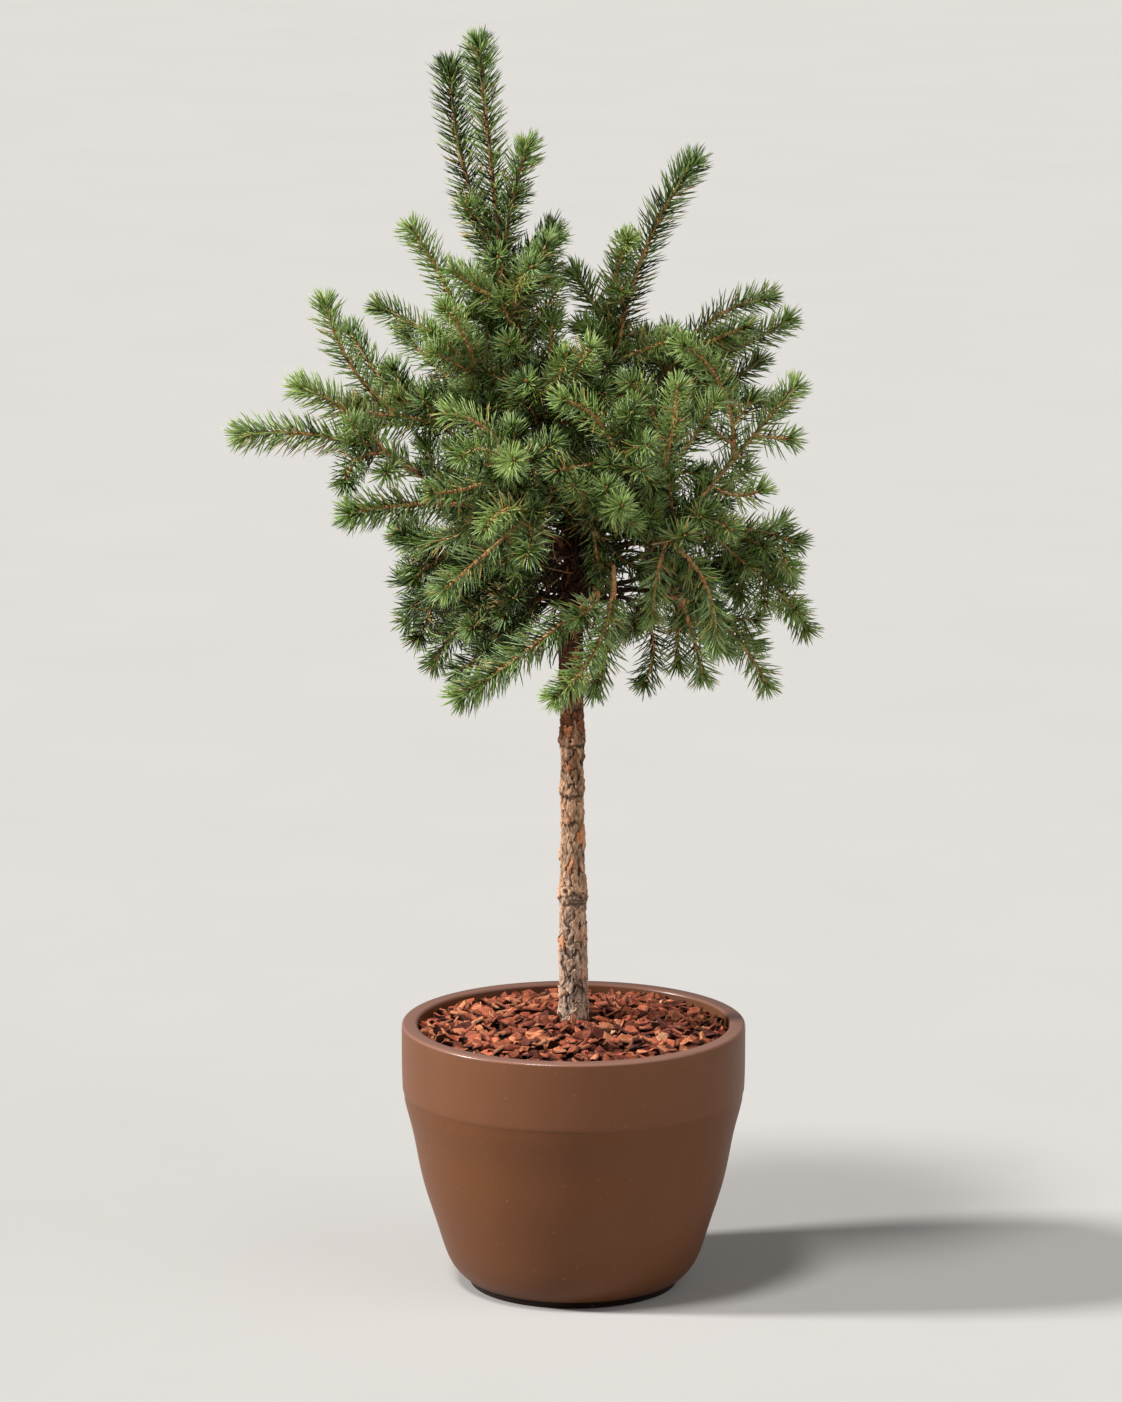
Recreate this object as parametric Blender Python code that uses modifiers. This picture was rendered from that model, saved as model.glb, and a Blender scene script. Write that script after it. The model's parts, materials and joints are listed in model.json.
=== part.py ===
"""A grafted Scots pine standard in a round planter.

The pot, its soil and bark mulch, the clear stem, the leader, the boughs of the head and the needled
shoots that they carry. Metres, +Z up. The origin is on the ground under the middle of the pot, +X runs
to the right of the plant's face and +Y runs away behind it.
"""

import math
import random
from dataclasses import dataclass, field

import bmesh
import bpy
import numpy as np
from mathutils import Vector

# Gap that a solid keeps from its neighbour
GAP = 0.0003
WELD = 0.00001
SLIVER = 0.00003

# Pot
POT_HEIGHT = 0.351
RIM_RADIUS = 0.2255
LIP_WIDTH = 0.021
LIP_ROUND = 0.004
BAND_FOOT = 0.261
BODY_FOOT = 0.0095
FOOT_RADIUS = 0.1366
FOOT_EDGE = 0.0085
FLOOR = 0.014
WALL_AT_FOOT = 0.016
WALL_AT_BAND = 0.025
POT_SIDES = 32
# Heights between floor and lip where the inner wall has a point
INNER_HEIGHTS = (0.120, 0.200, BAND_FOOT)
# Outer radius of the band, and of the small step under it, from the top down
BAND_RADII = (
    (0.285, RIM_RADIUS),
    (0.265, 0.2245),
    (BAND_FOOT, 0.2237),
    (0.260, 0.2225),
)
# Outer radius of the body at heights below the band
BODY_RADII = (
    (0.246, 0.2208),
    (0.215, 0.2140),
    (0.160, 0.2022),
    (0.105, 0.1880),
    (0.055, 0.1717),
    (0.030, 0.1612),
    (0.015, 0.1508),
    (BODY_FOOT, 0.1400),
)

# Soil and mulch
SOIL_LEVEL = 0.322
SOIL_SIDES = 28
MULCH_EDGE = 0.333
MULCH_CROWN = 0.355
MULCH_RINGS = 5
MULCH_SEED = 7
CHIP_RISE = 0.003
STEM_HOLE = 0.0235
# How far out from the stem's hole the chips start to stand up
QUIET_RING = 0.005

# Stem: height, how far its middle stands to the right, and radius
STEM = (
    (SOIL_LEVEL + GAP, 0.0000, 0.0218),
    (0.338, 0.0000, 0.0205),
    (0.354, 0.0000, 0.0194),
    (0.411, 0.0000, 0.0183),
    (0.459, -0.0005, 0.0176),
    (0.505, -0.0008, 0.0170),
    (0.523, -0.0010, 0.0186),
    (0.540, -0.0010, 0.0163),
    (0.600, -0.0014, 0.0152),
    (0.654, -0.0016, 0.0150),
    (0.664, -0.0017, 0.0160),
    (0.676, -0.0017, 0.0149),
    (0.718, -0.0019, 0.0150),
    (0.729, -0.0019, 0.0162),
    (0.742, -0.0020, 0.0155),
    (0.800, -0.0030, 0.0152),
    (0.860, -0.0040, 0.0150),
    (0.895, -0.0005, 0.0152),
    (0.930, 0.0030, 0.0190),
    (0.975, 0.0065, 0.0190),
    (0.995, 0.0080, 0.0165),
    (1.030, -0.0020, 0.0125),
)

# Boughs
LEADER_RADII = (0.0105, 0.0055)
TRUNK_BOUGH_RADII = (0.0065, 0.0045)
LEADER_BOUGH_RADII = (0.0055, 0.0042)
BOUGH_STEPS = 6
LEADER_STEPS = 10
# Side levels of the round bars: 4 sides and 2 more a level
BOUGH_SIDES_LEVEL = 1
LEADER_SIDES_LEVEL = 2
STEM_SIDES_LEVEL = 3
# Length of the collar that carries the top shoots
TIP_COLLAR = 0.008
# Lengths of a whorl's shoots in turn, against the usual, and how much they curl up
WHORL_LENGTHS = (1.0, 0.8, 1.15, 0.9, 1.05, 0.85)
WHORL_CURL = 10

# Shoots: a slim core whose faces are drawn out into sprays of needles
CORE_STATIONS = (0.0, 0.35, 1.0)
CORE_RADII = (0.0050, 0.0066, 0.0036)
BAND_LENGTH = 0.033
NEEDLE_REACH = 0.0235
REACH_SPREAD = (0.85, 1.08)
NEEDLE_LEAN = 0.017
LEAN_SPREAD = (0.85, 1.15)
BUD_REACH = 0.020
ROOT_SUNK = 0.003
BARE_FOOT = 0.040
SPRAY_CLEARANCE = 0.0015
SPRAY_WIDTH = 0.010
# Where along a spray its clearance is measured
SPRAY_STATIONS = (0.35, 0.7, 1.0)
# A core's first corner direction, before it is squared to the shoot
FIRST_SIDE = (0.3, 0.5, 0.8)
# How often a mass is made again where its faces meet badly
TRIES = 8

# Finishes: base colour and roughness
POT_FINISH = ((0.14, 0.053, 0.027), 0.45)
SOIL_FINISH = ((0.03, 0.02, 0.015), 0.95)
MULCH_FINISH = ((0.27, 0.085, 0.04), 0.8)
BARK_FINISH = ((0.22, 0.12, 0.07), 0.9)
NEEDLE_FINISH = ((0.05, 0.11, 0.035), 0.6)


@dataclass
class Limb:
    """A bent limb: the heading and rise of the straight line it spans, in degrees, its length, and how
    many degrees it turns upwards (curl) and leftwards (swing) on the way."""

    heading: float
    rise: float
    length: float
    curl: float = 0
    swing: float = 0

    def path(self, start, steps):
        """Points along the limb: its direction turns evenly from foot to tip."""
        share = (np.arange(steps) + 0.5) / steps - 0.5
        rise = np.radians(self.rise + self.curl * share)
        heading = np.radians(self.heading + self.swing * share)
        way = np.stack(
            [np.cos(rise) * np.cos(heading), np.cos(rise) * np.sin(heading), np.sin(rise)], 1
        )
        steps_taken = np.cumsum(way * self.length / steps, axis=0)
        return np.vstack([start, np.asarray(start) + steps_taken])


@dataclass
class Shoot(Limb):
    """A needled shoot. It leaves its mass's fork, or another shoot of the mass at a share of its length."""

    parent: int = None
    share: float = 1.0


@dataclass
class Mass:
    """The shoots that one bough carries. The bough leaves the trunk or the leader at a height."""

    name: str
    carrier: str
    height: float
    bough: Limb
    shoots: list = field(default_factory=list)
    own_bough: bool = True


def whorl(count, heading, spread, rise, stagger, length):
    """Shoots fanned evenly over an arc of headings, rising and dipping in turn, unlike in length."""
    shoots = []
    for i in range(count):
        turn = spread * ((i + 0.5) / count - 0.5)
        tilt = stagger / 2 if i % 2 else -stagger / 2
        own_length = length * WHORL_LENGTHS[i % len(WHORL_LENGTHS)]
        shoots.append(Shoot(heading + turn, rise + tilt, own_length, WHORL_CURL))
    return shoots


LEADER = Limb(183, 74, 0.355, 6)
LEADER_FOOT = 0.995

HEAD = (
    Mass("top", "tip", 0, None, [
        Shoot(189, 84, 0.290),
        Shoot(149, 73, 0.269, 30),
        Shoot(118, 45, 0.110, 50),
        Shoot(324, 76, 0.165, -20),
    ]),
    Mass("top_front", "leader", 1.275, Limb(265, 39, 0.050, 10), [
        Shoot(351, 60, 0.090, 20),
        Shoot(287, 34, 0.100, -20),
        Shoot(193, 30, 0.090, 30),
    ], own_bough=False),
    Mass("centre_high", "leader", 1.130, Limb(273, 53, 0.080, 15), [
        Shoot(76, 77, 0.095),
        Shoot(298, 32, 0.135, 30),
        Shoot(286, 34, 0.100, 30),
    ], own_bough=False),
    Mass("upper_left", "leader", 1.100, Limb(196, 48, 0.150, 25), [
        Shoot(187, 66, 0.210, -20),
        Shoot(243, 47, 0.135, -30),
        Shoot(159, 31, 0.160, -20),
    ]),
    Mass("left_high", "leader", 1.045, Limb(186, 32, 0.200, 20), [
        Shoot(212, 12, 0.060, 10),
        Shoot(187, 58, 0.175, 40, parent=0),
        Shoot(144, 37, 0.175, 30, -20),
        Shoot(144, 29, 0.095),
        Shoot(216, 15, 0.070, 30, parent=0),
    ]),
    Mass("left_far", "trunk", 0.985, Limb(202, 27, 0.300, 10), [
        Shoot(183, 8, 0.185, -30),
        Shoot(187, 39, 0.140, -40),
        Shoot(238, -16, 0.095, -50, 60),
    ]),
    Mass("left_middle", "trunk", 1.000, Limb(235, 33, 0.190, 15), [
        Shoot(187, 45, 0.115, -80),
        Shoot(213, -9, 0.115, 30),
        Shoot(274, 15, 0.145),
        Shoot(232, 18, 0.105, -80),
    ]),
    Mass("left_low_arm", "trunk", 0.965, Limb(222, 30, 0.170, 5), [
        Shoot(210, 3, 0.205, -20),
        Shoot(131, -18, 0.200, 50),
    ]),
    Mass("left_low", "trunk", 0.945, Limb(167, 13, 0.135, -10), [
        Shoot(186, -25, 0.095, -50),
        Shoot(156, -41, 0.130, 20, -20),
    ]),
    Mass("front_fan", "trunk", 0.975, Limb(247, 24, 0.180), [
        Shoot(213, -33, 0.150),
        Shoot(240, 1, 0.110, -70),
        Shoot(270, -16, 0.105, 0, -20),
    ]),
    Mass("low_left", "trunk", 0.915, Limb(201, 4, 0.085, -15), [
        Shoot(174, -40, 0.140, -50),
        Shoot(209, -47, 0.125, 60),
    ]),
    Mass("low_front", "trunk", 0.935, Limb(282, 5, 0.135, -20), [
        Shoot(193, -35, 0.220, 10),
        Shoot(245, -17, 0.070, 0, -60),
    ]),
    Mass("low_centre", "trunk", 0.955, Limb(291, 11, 0.130, -20), [
        Shoot(241, -45, 0.210, 30, -60),
        Shoot(183, -81, 0.165, 30),
    ]),
    Mass("right_upper", "leader", 1.070, Limb(9, 65, 0.170, 25), [
        Shoot(0, 69, 0.276, -28),
        Shoot(310, 73, 0.185, -80, -60),
        Shoot(158, 64, 0.125, -20),
        Shoot(317, 20, 0.110, -10),
    ]),
    Mass("right_high", "leader", 1.030, Limb(23, 53, 0.220, 25), [
        Shoot(0, 36, 0.170, -50),
        Shoot(333, 29, 0.135, -20, 20),
        Shoot(10, 21, 0.175, 20),
        Shoot(350, 8, 0.135, 80),
    ]),
    Mass("right_reach", "trunk", 0.985, Limb(327, 20, 0.180, 10), [
        Shoot(23, 46, 0.210),
        Shoot(222, 59, 0.200, -80, 20, parent=0, share=0.4),
        Shoot(343, -2, 0.050, parent=0, share=0.6),
        Shoot(329, 0, 0.075, 60, parent=0, share=0.2),
    ]),
    Mass("right_low_out", "trunk", 0.955, Limb(3, 14, 0.195), [
        Shoot(354, -8, 0.095, -30),
        Shoot(349, -49, 0.165, -20),
        Shoot(30, -33, 0.125, 40),
    ]),
    Mass("right_star", "trunk", 0.970, Limb(313, 14, 0.170), [
        Shoot(286, 15, 0.075),
        Shoot(326, -61, 0.160, -80),
        Shoot(190, -79, 0.100, -20),
    ]),
    Mass("front_right", "trunk", 1.010, Limb(296, 42, 0.165, 10), [
        Shoot(225, 39, 0.135, -50),
        Shoot(229, -2, 0.120, 10),
        Shoot(289, 15, 0.110, -10),
        Shoot(286, 49, 0.080, -20),
    ]),
    Mass("right_inner", "trunk", 1.000, Limb(326, 34, 0.150, 15), [
        Shoot(237, 61, 0.165, -80),
        Shoot(336, 54, 0.130, 20),
        Shoot(280, 48, 0.185, 30),
    ]),
    Mass("front_star", "trunk", 0.990, Limb(290, 27, 0.110, 10), [
        Shoot(277, 14, 0.155),
        Shoot(270, 26, 0.120),
        Shoot(248, 27, 0.120),
    ]),
    Mass("low_right", "trunk", 0.925, Limb(348, -2, 0.140, -15), [
        Shoot(323, -71, 0.105, -10),
        Shoot(10, -46, 0.165, -40),
        Shoot(114, -83, 0.090, -40),
    ]),
    Mass("low_middle", "trunk", 0.905, Limb(25, 0, 0.095, -20), [
        Shoot(328, -82, 0.115, -80, 60),
        Shoot(261, -22, 0.065, 10),
    ]),
    Mass("back_top", "leader", 1.190, Limb(95, 27, 0.100, 20),
         whorl(4, 110, 130, 52, 24, 0.105), own_bough=False),
    Mass("back_high_left", "leader", 1.100, Limb(129, 19, 0.175, 15), whorl(5, 125, 150, 18, 40, 0.145)),
    Mass("back_high_right", "leader", 1.060, Limb(41, 30, 0.215, 15), whorl(5, 60, 150, 12, 36, 0.140)),
    Mass("back_middle", "trunk", 0.990, Limb(89, 16, 0.200, 5), whorl(6, 90, 200, 5, 60, 0.150)),
    Mass("back_low_left", "trunk", 0.940, Limb(135, -2, 0.175, -10), whorl(5, 115, 150, -16, 40, 0.120)),
    Mass("back_low_right", "trunk", 0.930, Limb(43, -2, 0.175, -10), whorl(5, 60, 160, -20, 40, 0.140)),
)


def clear_scene():
    """Removes every object of the open scene."""
    for old in list(bpy.data.objects):
        bpy.data.objects.remove(old)


def new_collection(name, hidden=False):
    """A collection of the scene, left out of renders when it only holds helpers."""
    made = bpy.data.collections.new(name)
    bpy.context.scene.collection.children.link(made)
    made.hide_render = hidden
    return made


def material(name, finish):
    """A plain finish of a base colour and a roughness."""
    colour, roughness = finish
    made = bpy.data.materials.new(name)
    made.use_nodes = True
    shader = made.node_tree.nodes["Principled BSDF"]
    shader.inputs["Base Color"].default_value = (*colour, 1)
    shader.inputs["Roughness"].default_value = roughness
    shader.inputs["Metallic"].default_value = 0.0
    return made


def add_object(name, mesh, collection, finish=None):
    """An object of the mesh, dressed in the finish."""
    made = bpy.data.objects.new(name, mesh)
    collection.objects.link(made)
    if finish:
        mesh.materials.clear()
        mesh.materials.append(finish)
    return made


def mesh_of(source, name):
    """The evaluated mesh of an object, its caps welded; the object is then removed."""
    bpy.context.view_layer.update()
    graph = bpy.context.evaluated_depsgraph_get()
    mesh = bpy.data.meshes.new_from_object(source.evaluated_get(graph))
    mesh.name = name
    bpy.data.objects.remove(source)
    shape = bmesh.new()
    shape.from_mesh(mesh)
    bmesh.ops.remove_doubles(shape, verts=shape.verts, dist=WELD)
    shape.to_mesh(mesh)
    shape.free()
    return mesh


def turned(name, profile, sides, collection, finish):
    """A profile of (radius, height) points turned about the Z axis."""
    mesh = bpy.data.meshes.new(name)
    edges = [(i, i + 1) for i in range(len(profile) - 1)]
    mesh.from_pydata([(radius, 0, height) for radius, height in profile], edges, [])
    made = add_object(name, mesh, collection, finish)
    screw = made.modifiers.new("turn", "SCREW")
    screw.steps = screw.render_steps = sides
    screw.use_merge_vertices = True
    screw.merge_threshold = WELD
    return made


def tube(name, points, radii, sides_level, collection):
    """A round bar through the points, a radius at each, with flat ends; sides are 4 + 2 a level."""
    curve = bpy.data.curves.new(name, "CURVE")
    curve.dimensions = "3D"
    curve.bevel_depth = 1
    curve.bevel_resolution = sides_level
    curve.use_fill_caps = True
    line = curve.splines.new("POLY")
    line.points.add(len(points) - 1)
    for spot, place, radius in zip(line.points, points, radii):
        spot.co = (*place, 1)
        spot.radius = radius
    made = bpy.data.objects.new(name, curve)
    collection.objects.link(made)
    return mesh_of(made, name)


def wall_radius(height):
    """Outer radius of the pot's body at a height below the band."""
    heights = [spot[0] for spot in BODY_RADII][::-1]
    radii = [spot[1] for spot in BODY_RADII][::-1]
    return float(np.interp(height, heights, radii))


def inner_radius(height):
    """Inner radius of the pot: its wall thickens evenly from foot to lip."""
    lip = RIM_RADIUS - LIP_WIDTH
    floor = wall_radius(FLOOR + WALL_AT_FOOT) - WALL_AT_FOOT
    return float(np.interp(height, (FLOOR, BAND_FOOT, POT_HEIGHT), (floor, RIM_RADIUS - WALL_AT_BAND, lip)))


def inner_profile(low, high, inset):
    """Points up the pot's inner wall from one height to another, inset from it."""
    heights = [low, *(height for height in INNER_HEIGHTS if low < height < high), high]
    return [(inner_radius(height) - inset, height) for height in heights]


def lip_arc(centre_radius, first_degrees):
    """A quarter circle that rounds one edge of the lip."""
    arc = []
    for degrees in (first_degrees, first_degrees - 45, first_degrees - 90):
        angle = math.radians(degrees)
        height = POT_HEIGHT - LIP_ROUND + LIP_ROUND * math.sin(angle)
        arc.append((centre_radius + LIP_ROUND * math.cos(angle), height))
    return arc


def make_pot(collection):
    """A planter: rounded lip, plain band with a small step under it, bowl-like body, recessed foot."""
    lip_inner = RIM_RADIUS - LIP_WIDTH + LIP_ROUND
    profile = [(0, FLOOR), *inner_profile(FLOOR, POT_HEIGHT - 2 * LIP_ROUND, 0)]
    profile += lip_arc(lip_inner, 180)
    profile += lip_arc(RIM_RADIUS - LIP_ROUND, 90)
    profile += [(radius, height) for height, radius in (*BAND_RADII, *BODY_RADII)]
    profile += [(FOOT_RADIUS, FOOT_EDGE), (FOOT_RADIUS, 0), (0, 0)]
    return turned("pot", profile, POT_SIDES, collection, material("brown_pot", POT_FINISH))


def make_soil(collection):
    """The potting soil, level under the mulch."""
    low = FLOOR + GAP
    profile = [(0, SOIL_LEVEL), (inner_radius(SOIL_LEVEL) - 2 * GAP, SOIL_LEVEL)]
    profile += inner_profile(low, SOIL_LEVEL, 4 * GAP)[::-1]
    profile += [(0, low)]
    return turned("soil", profile, SOIL_SIDES, collection, material("soil", SOIL_FINISH))


def make_mulch(collection):
    """A domed bed of bark chips with a hole for the stem; its top is broken up chip by chip."""
    rng = random.Random(MULCH_SEED)
    low = SOIL_LEVEL + GAP
    edge = inner_radius(SOIL_LEVEL) - 5 * GAP
    top = []
    for i in range(MULCH_RINGS + 1):
        share = i / MULCH_RINGS
        radius = STEM_HOLE + (edge - STEM_HOLE) * share
        top.append((radius, MULCH_EDGE + (MULCH_CROWN - MULCH_EDGE) * (1 - share**2)))
    profile = [(STEM_HOLE, low), *top, (edge, low), (STEM_HOLE, low)]
    bed = turned("bark_mulch", profile, SOIL_SIDES, collection, None)
    mesh = mesh_of(bed, "bark_mulch")
    for spot in mesh.vertices:
        radius = math.hypot(spot.co.x, spot.co.y)
        if spot.co.z > MULCH_EDGE + CHIP_RISE and radius > STEM_HOLE + QUIET_RING:
            spot.co.z += rng.uniform(-CHIP_RISE, CHIP_RISE)
    return add_object("bark_mulch", mesh, collection, material("bark_chips", MULCH_FINISH))


def stem_place(height):
    """A point on the stem's middle line."""
    across = np.interp(height, [spot[0] for spot in STEM], [spot[1] for spot in STEM])
    return np.array([across, 0.0, height])


def stem_mesh(name, grown, collection):
    """The trunk, or its slightly larger sleeve, which trims what grows out of it."""
    points = [stem_place(spot[0]) for spot in STEM]
    points[0] = points[0] - np.array([0, 0, grown])
    points[-1] = points[-1] + np.array([0, 0, grown])
    radii = [spot[2] + grown for spot in STEM]
    return tube(name, points, radii, STEM_SIDES_LEVEL, collection)


def leader_mesh(name, grown, collection):
    """The leader or its sleeve, tapering along its bent line."""
    points = LEADER.path(stem_place(LEADER_FOOT), LEADER_STEPS)
    way = points[-1] - points[-2]
    points[-1] = points[-1] + way / np.linalg.norm(way) * grown
    radii = np.linspace(*LEADER_RADII, len(points)) + grown
    return tube(name, points, radii, LEADER_SIDES_LEVEL, collection)


def carrier_place(mass):
    """Where the mass's bough leaves the middle line of the trunk or the leader."""
    if mass.carrier == "trunk":
        return stem_place(mass.height)
    line = LEADER.path(stem_place(LEADER_FOOT), LEADER_STEPS)
    if mass.carrier == "tip":
        return line[-1]
    return np.array([np.interp(mass.height, line[:, 2], line[:, axis]) for axis in range(3)])


class Skeleton:
    """The middle lines of one mass: its bough, the collar that carries its fork, and its shoots."""

    def __init__(self, mass):
        self.mass = mass
        start = carrier_place(mass)
        if mass.carrier == "tip":
            line = LEADER.path(stem_place(LEADER_FOOT), LEADER_STEPS)
            way = (line[-1] - line[-2]) / np.linalg.norm(line[-1] - line[-2])
            self.bough = None
            self.radii = LEADER_RADII
            self.collar = np.array([start + way * GAP, start + way * TIP_COLLAR])
        else:
            line = mass.bough.path(start, BOUGH_STEPS)
            self.bough = line[:-1] if mass.own_bough else line
            self.radii = TRUNK_BOUGH_RADII if mass.carrier == "trunk" else LEADER_BOUGH_RADII
            way = line[-2] - line[-3]
            step = np.linalg.norm(way)
            way = way / step
            self.collar = np.array([line[-2] + way * GAP, line[-2] + way * step])
        self.fork = self.collar[1]
        self.lines = []
        for shoot in mass.shoots:
            self.lines.append(self.shoot_line(shoot))

    def shoot_line(self, shoot):
        """Points along a shoot, one a band of needles, its foot sunk in what carries it."""
        bands = max(2, round(shoot.length / BAND_LENGTH))
        if shoot.parent is None:
            foot = self.fork
        else:
            parent = self.lines[shoot.parent]
            spot = shoot.share * (len(parent) - 1)
            foot = np.array([np.interp(spot, range(len(parent)), parent[:, axis]) for axis in range(3)])
        line = shoot.path(foot, bands)
        line[0] -= (line[1] - line[0]) / np.linalg.norm(line[1] - line[0]) * ROOT_SUNK
        return line

    def rods(self):
        """Every straight stretch of the mass's own shoots, as (start, end) rows."""
        lines = [self.collar, *self.lines]
        return np.array([(a, b) for line in lines for a, b in zip(line[:-1], line[1:])])


def distances(point, rods):
    """How far a point lies from each rod."""
    start, end = rods[:, 0], rods[:, 1]
    way = end - start
    share = np.clip(((point - start) * way).sum(1) / (way * way).sum(1), 0, 1)
    return np.linalg.norm(start + way * share[:, None] - point, axis=1)


class Space:
    """Says whether a spray of needles stays in its own mass's space and clear of every limb."""

    def __init__(self, skeletons):
        self.rods = [skeleton.rods() for skeleton in skeletons]
        limbs, radii = [], []
        stem = [stem_place(spot[0]) for spot in STEM]
        for i in range(len(stem) - 1):
            limbs.append((stem[i], stem[i + 1]))
            radii.append(max(STEM[i][2], STEM[i + 1][2]))
        line = LEADER.path(stem_place(LEADER_FOOT), LEADER_STEPS)
        for a, b in zip(line[:-1], line[1:]):
            limbs.append((a, b))
            radii.append(LEADER_RADII[0])
        for skeleton in skeletons:
            if skeleton.bough is None:
                continue
            for a, b in zip(skeleton.bough[:-1], skeleton.bough[1:]):
                limbs.append((a, b))
                radii.append(skeleton.radii[0])
        self.limbs = np.array(limbs)
        self.radii = np.array(radii)

    def holds(self, index, foot, apex):
        """Whether a spray from foot to apex is nearer to its own mass than to any other, and off the limbs."""
        others = np.vstack([rods for i, rods in enumerate(self.rods) if i != index])
        for share in SPRAY_STATIONS:
            spot = foot + (apex - foot) * share
            width = SPRAY_WIDTH * (1 - share)
            own = distances(spot, self.rods[index]).min()
            if distances(spot, others).min() < own + SPRAY_CLEARANCE + width:
                return False
            if (distances(spot, self.limbs) - self.radii).min() < SPRAY_CLEARANCE + width / 2:
                return False
        return True


def core_radius(share):
    """Radius of a shoot's core: slim at the foot, fullest before the middle, slimmest at the bud."""
    return float(np.interp(share, CORE_STATIONS, CORE_RADII))


def carried_side(side, way):
    """The side direction carried on to the next ring: what is left of it square to the way."""
    side = side - way * (side @ way)
    return side / np.linalg.norm(side)


def three_corners(centre, way, side, radius, turn):
    """Three corners round a centre, square to the way, turned from the side direction by degrees."""
    across = np.cross(way, side)
    angles = np.radians(turn + 120 * np.arange(3))
    return centre + radius * (np.outer(np.cos(angles), side) + np.outer(np.sin(angles), across))


def shoot_mesh(name, line, index, space, rng):
    """A three-sided core whose corners turn by half a side a band, so that its faces are triangles. Each
    face off the bare foot is poked, and its middle drawn out and forward as a spray of needles."""
    steps = len(line) - 1
    start_turn = rng.uniform(0, 120)
    shape = bmesh.new()
    rings = []
    side = np.array(FIRST_SIDE)
    for i, centre in enumerate(line):
        way = line[min(i + 1, steps)] - line[max(i - 1, 0)]
        way = way / np.linalg.norm(way)
        side = carried_side(side, way)
        turn = start_turn + 60 * (i % 2)
        corners = three_corners(centre, way, side, core_radius(i / steps), turn)
        rings.append([shape.verts.new(corner) for corner in corners])
    shape.faces.new(rings[0][::-1])
    teeth = []
    for i in range(steps):
        low, high = rings[i], rings[i + 1]
        for corner in range(3):
            after = (corner + 1) % 3
            tip = high[corner] if i % 2 == 0 else high[after]
            root = low[after] if i % 2 == 0 else low[corner]
            teeth.append((i, shape.faces.new((low[corner], low[after], tip))))
            teeth.append((i, shape.faces.new((root, high[after], high[corner]))))
    bud = shape.faces.new(rings[-1])
    shape.normal_update()
    length = np.linalg.norm(np.diff(line, axis=0), axis=1)
    travelled = np.concatenate([[0], np.cumsum(length)])
    for i, face in teeth:
        foot = np.array(face.calc_center_median())
        way = (line[i + 1] - line[i]) / length[i]
        if travelled[i] + (foot - line[i]) @ way < BARE_FOOT:
            continue
        middle = line[i] + way * ((foot - line[i]) @ way)
        out = (foot - middle) / np.linalg.norm(foot - middle)
        reach = (NEEDLE_REACH - np.linalg.norm(foot - middle)) * rng.uniform(*REACH_SPREAD)
        apex = foot + out * reach + way * NEEDLE_LEAN * rng.uniform(*LEAN_SPREAD)
        if space.holds(index, foot, apex):
            poked = bmesh.ops.poke(shape, faces=[face])["verts"][0]
            poked.co = apex
    way = (line[-1] - line[-2]) / length[-1]
    apex = line[-1] + way * BUD_REACH
    if space.holds(index, line[-1], apex):
        bmesh.ops.poke(shape, faces=[bud])["verts"][0].co = apex
    mesh = bpy.data.meshes.new(name)
    shape.to_mesh(mesh)
    shape.free()
    return mesh


def tidied(mesh):
    """Welds slivers, drops every loose shell but the largest (scraps, and walls of hollows that joining
    sealed), and says whether each edge that is left lies between two faces."""
    shape = bmesh.new()
    shape.from_mesh(mesh)
    bmesh.ops.triangulate(shape, faces=shape.faces)
    bmesh.ops.dissolve_degenerate(shape, edges=shape.edges, dist=SLIVER)
    bmesh.ops.remove_doubles(shape, verts=shape.verts, dist=SLIVER)
    bmesh.ops.triangulate(shape, faces=shape.faces)
    left = set(shape.verts)
    shells = []
    while left:
        shell = {left.pop()}
        edge = list(shell)
        while edge:
            near = {side.other_vert(spot) for spot in edge for side in spot.link_edges} - shell
            shell |= near
            edge = list(near)
        left -= shell
        shells.append(shell)
    shells.sort(key=len)
    for shell in shells[:-1]:
        bmesh.ops.delete(shape, geom=list(shell), context="VERTS")
    sound = all(len(side.link_faces) == 2 for side in shape.edges)
    sound = sound and all(spot.is_manifold for spot in shape.verts)
    shape.to_mesh(mesh)
    shape.free()
    return sound


def boolean(target, operation, other=None, group=None):
    """Joins to, or cuts from, the target, applies the result to its mesh, and says whether it is sound."""
    step = target.modifiers.new(operation.lower(), "BOOLEAN")
    step.operation = operation
    if group:
        step.operand_type = "COLLECTION"
        step.collection = group
    else:
        step.object = other
    bpy.context.view_layer.update()
    graph = bpy.context.evaluated_depsgraph_get()
    old = target.data
    finishes = list(old.materials)
    made = bpy.data.meshes.new_from_object(target.evaluated_get(graph))
    sound = tidied(made)
    target.modifiers.clear()
    target.data = made
    made.name = target.name
    made.materials.clear()
    for finish in finishes:
        made.materials.append(finish)
    bpy.data.meshes.remove(old)
    return sound


def add_boughs(skeletons, sleeves, collection, finish):
    """One tapering limb a mass, trimmed where it leaves the trunk or the leader."""
    for skeleton in skeletons:
        if skeleton.bough is None or not skeleton.mass.own_bough:
            continue
        name = "bough_" + skeleton.mass.name
        radii = np.linspace(*skeleton.radii, len(skeleton.bough))
        limb = add_object(name, tube(name, skeleton.bough, radii, BOUGH_SIDES_LEVEL, collection), collection, finish)
        for sleeve in sleeves:
            boolean(limb, "DIFFERENCE", other=sleeve)


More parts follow.
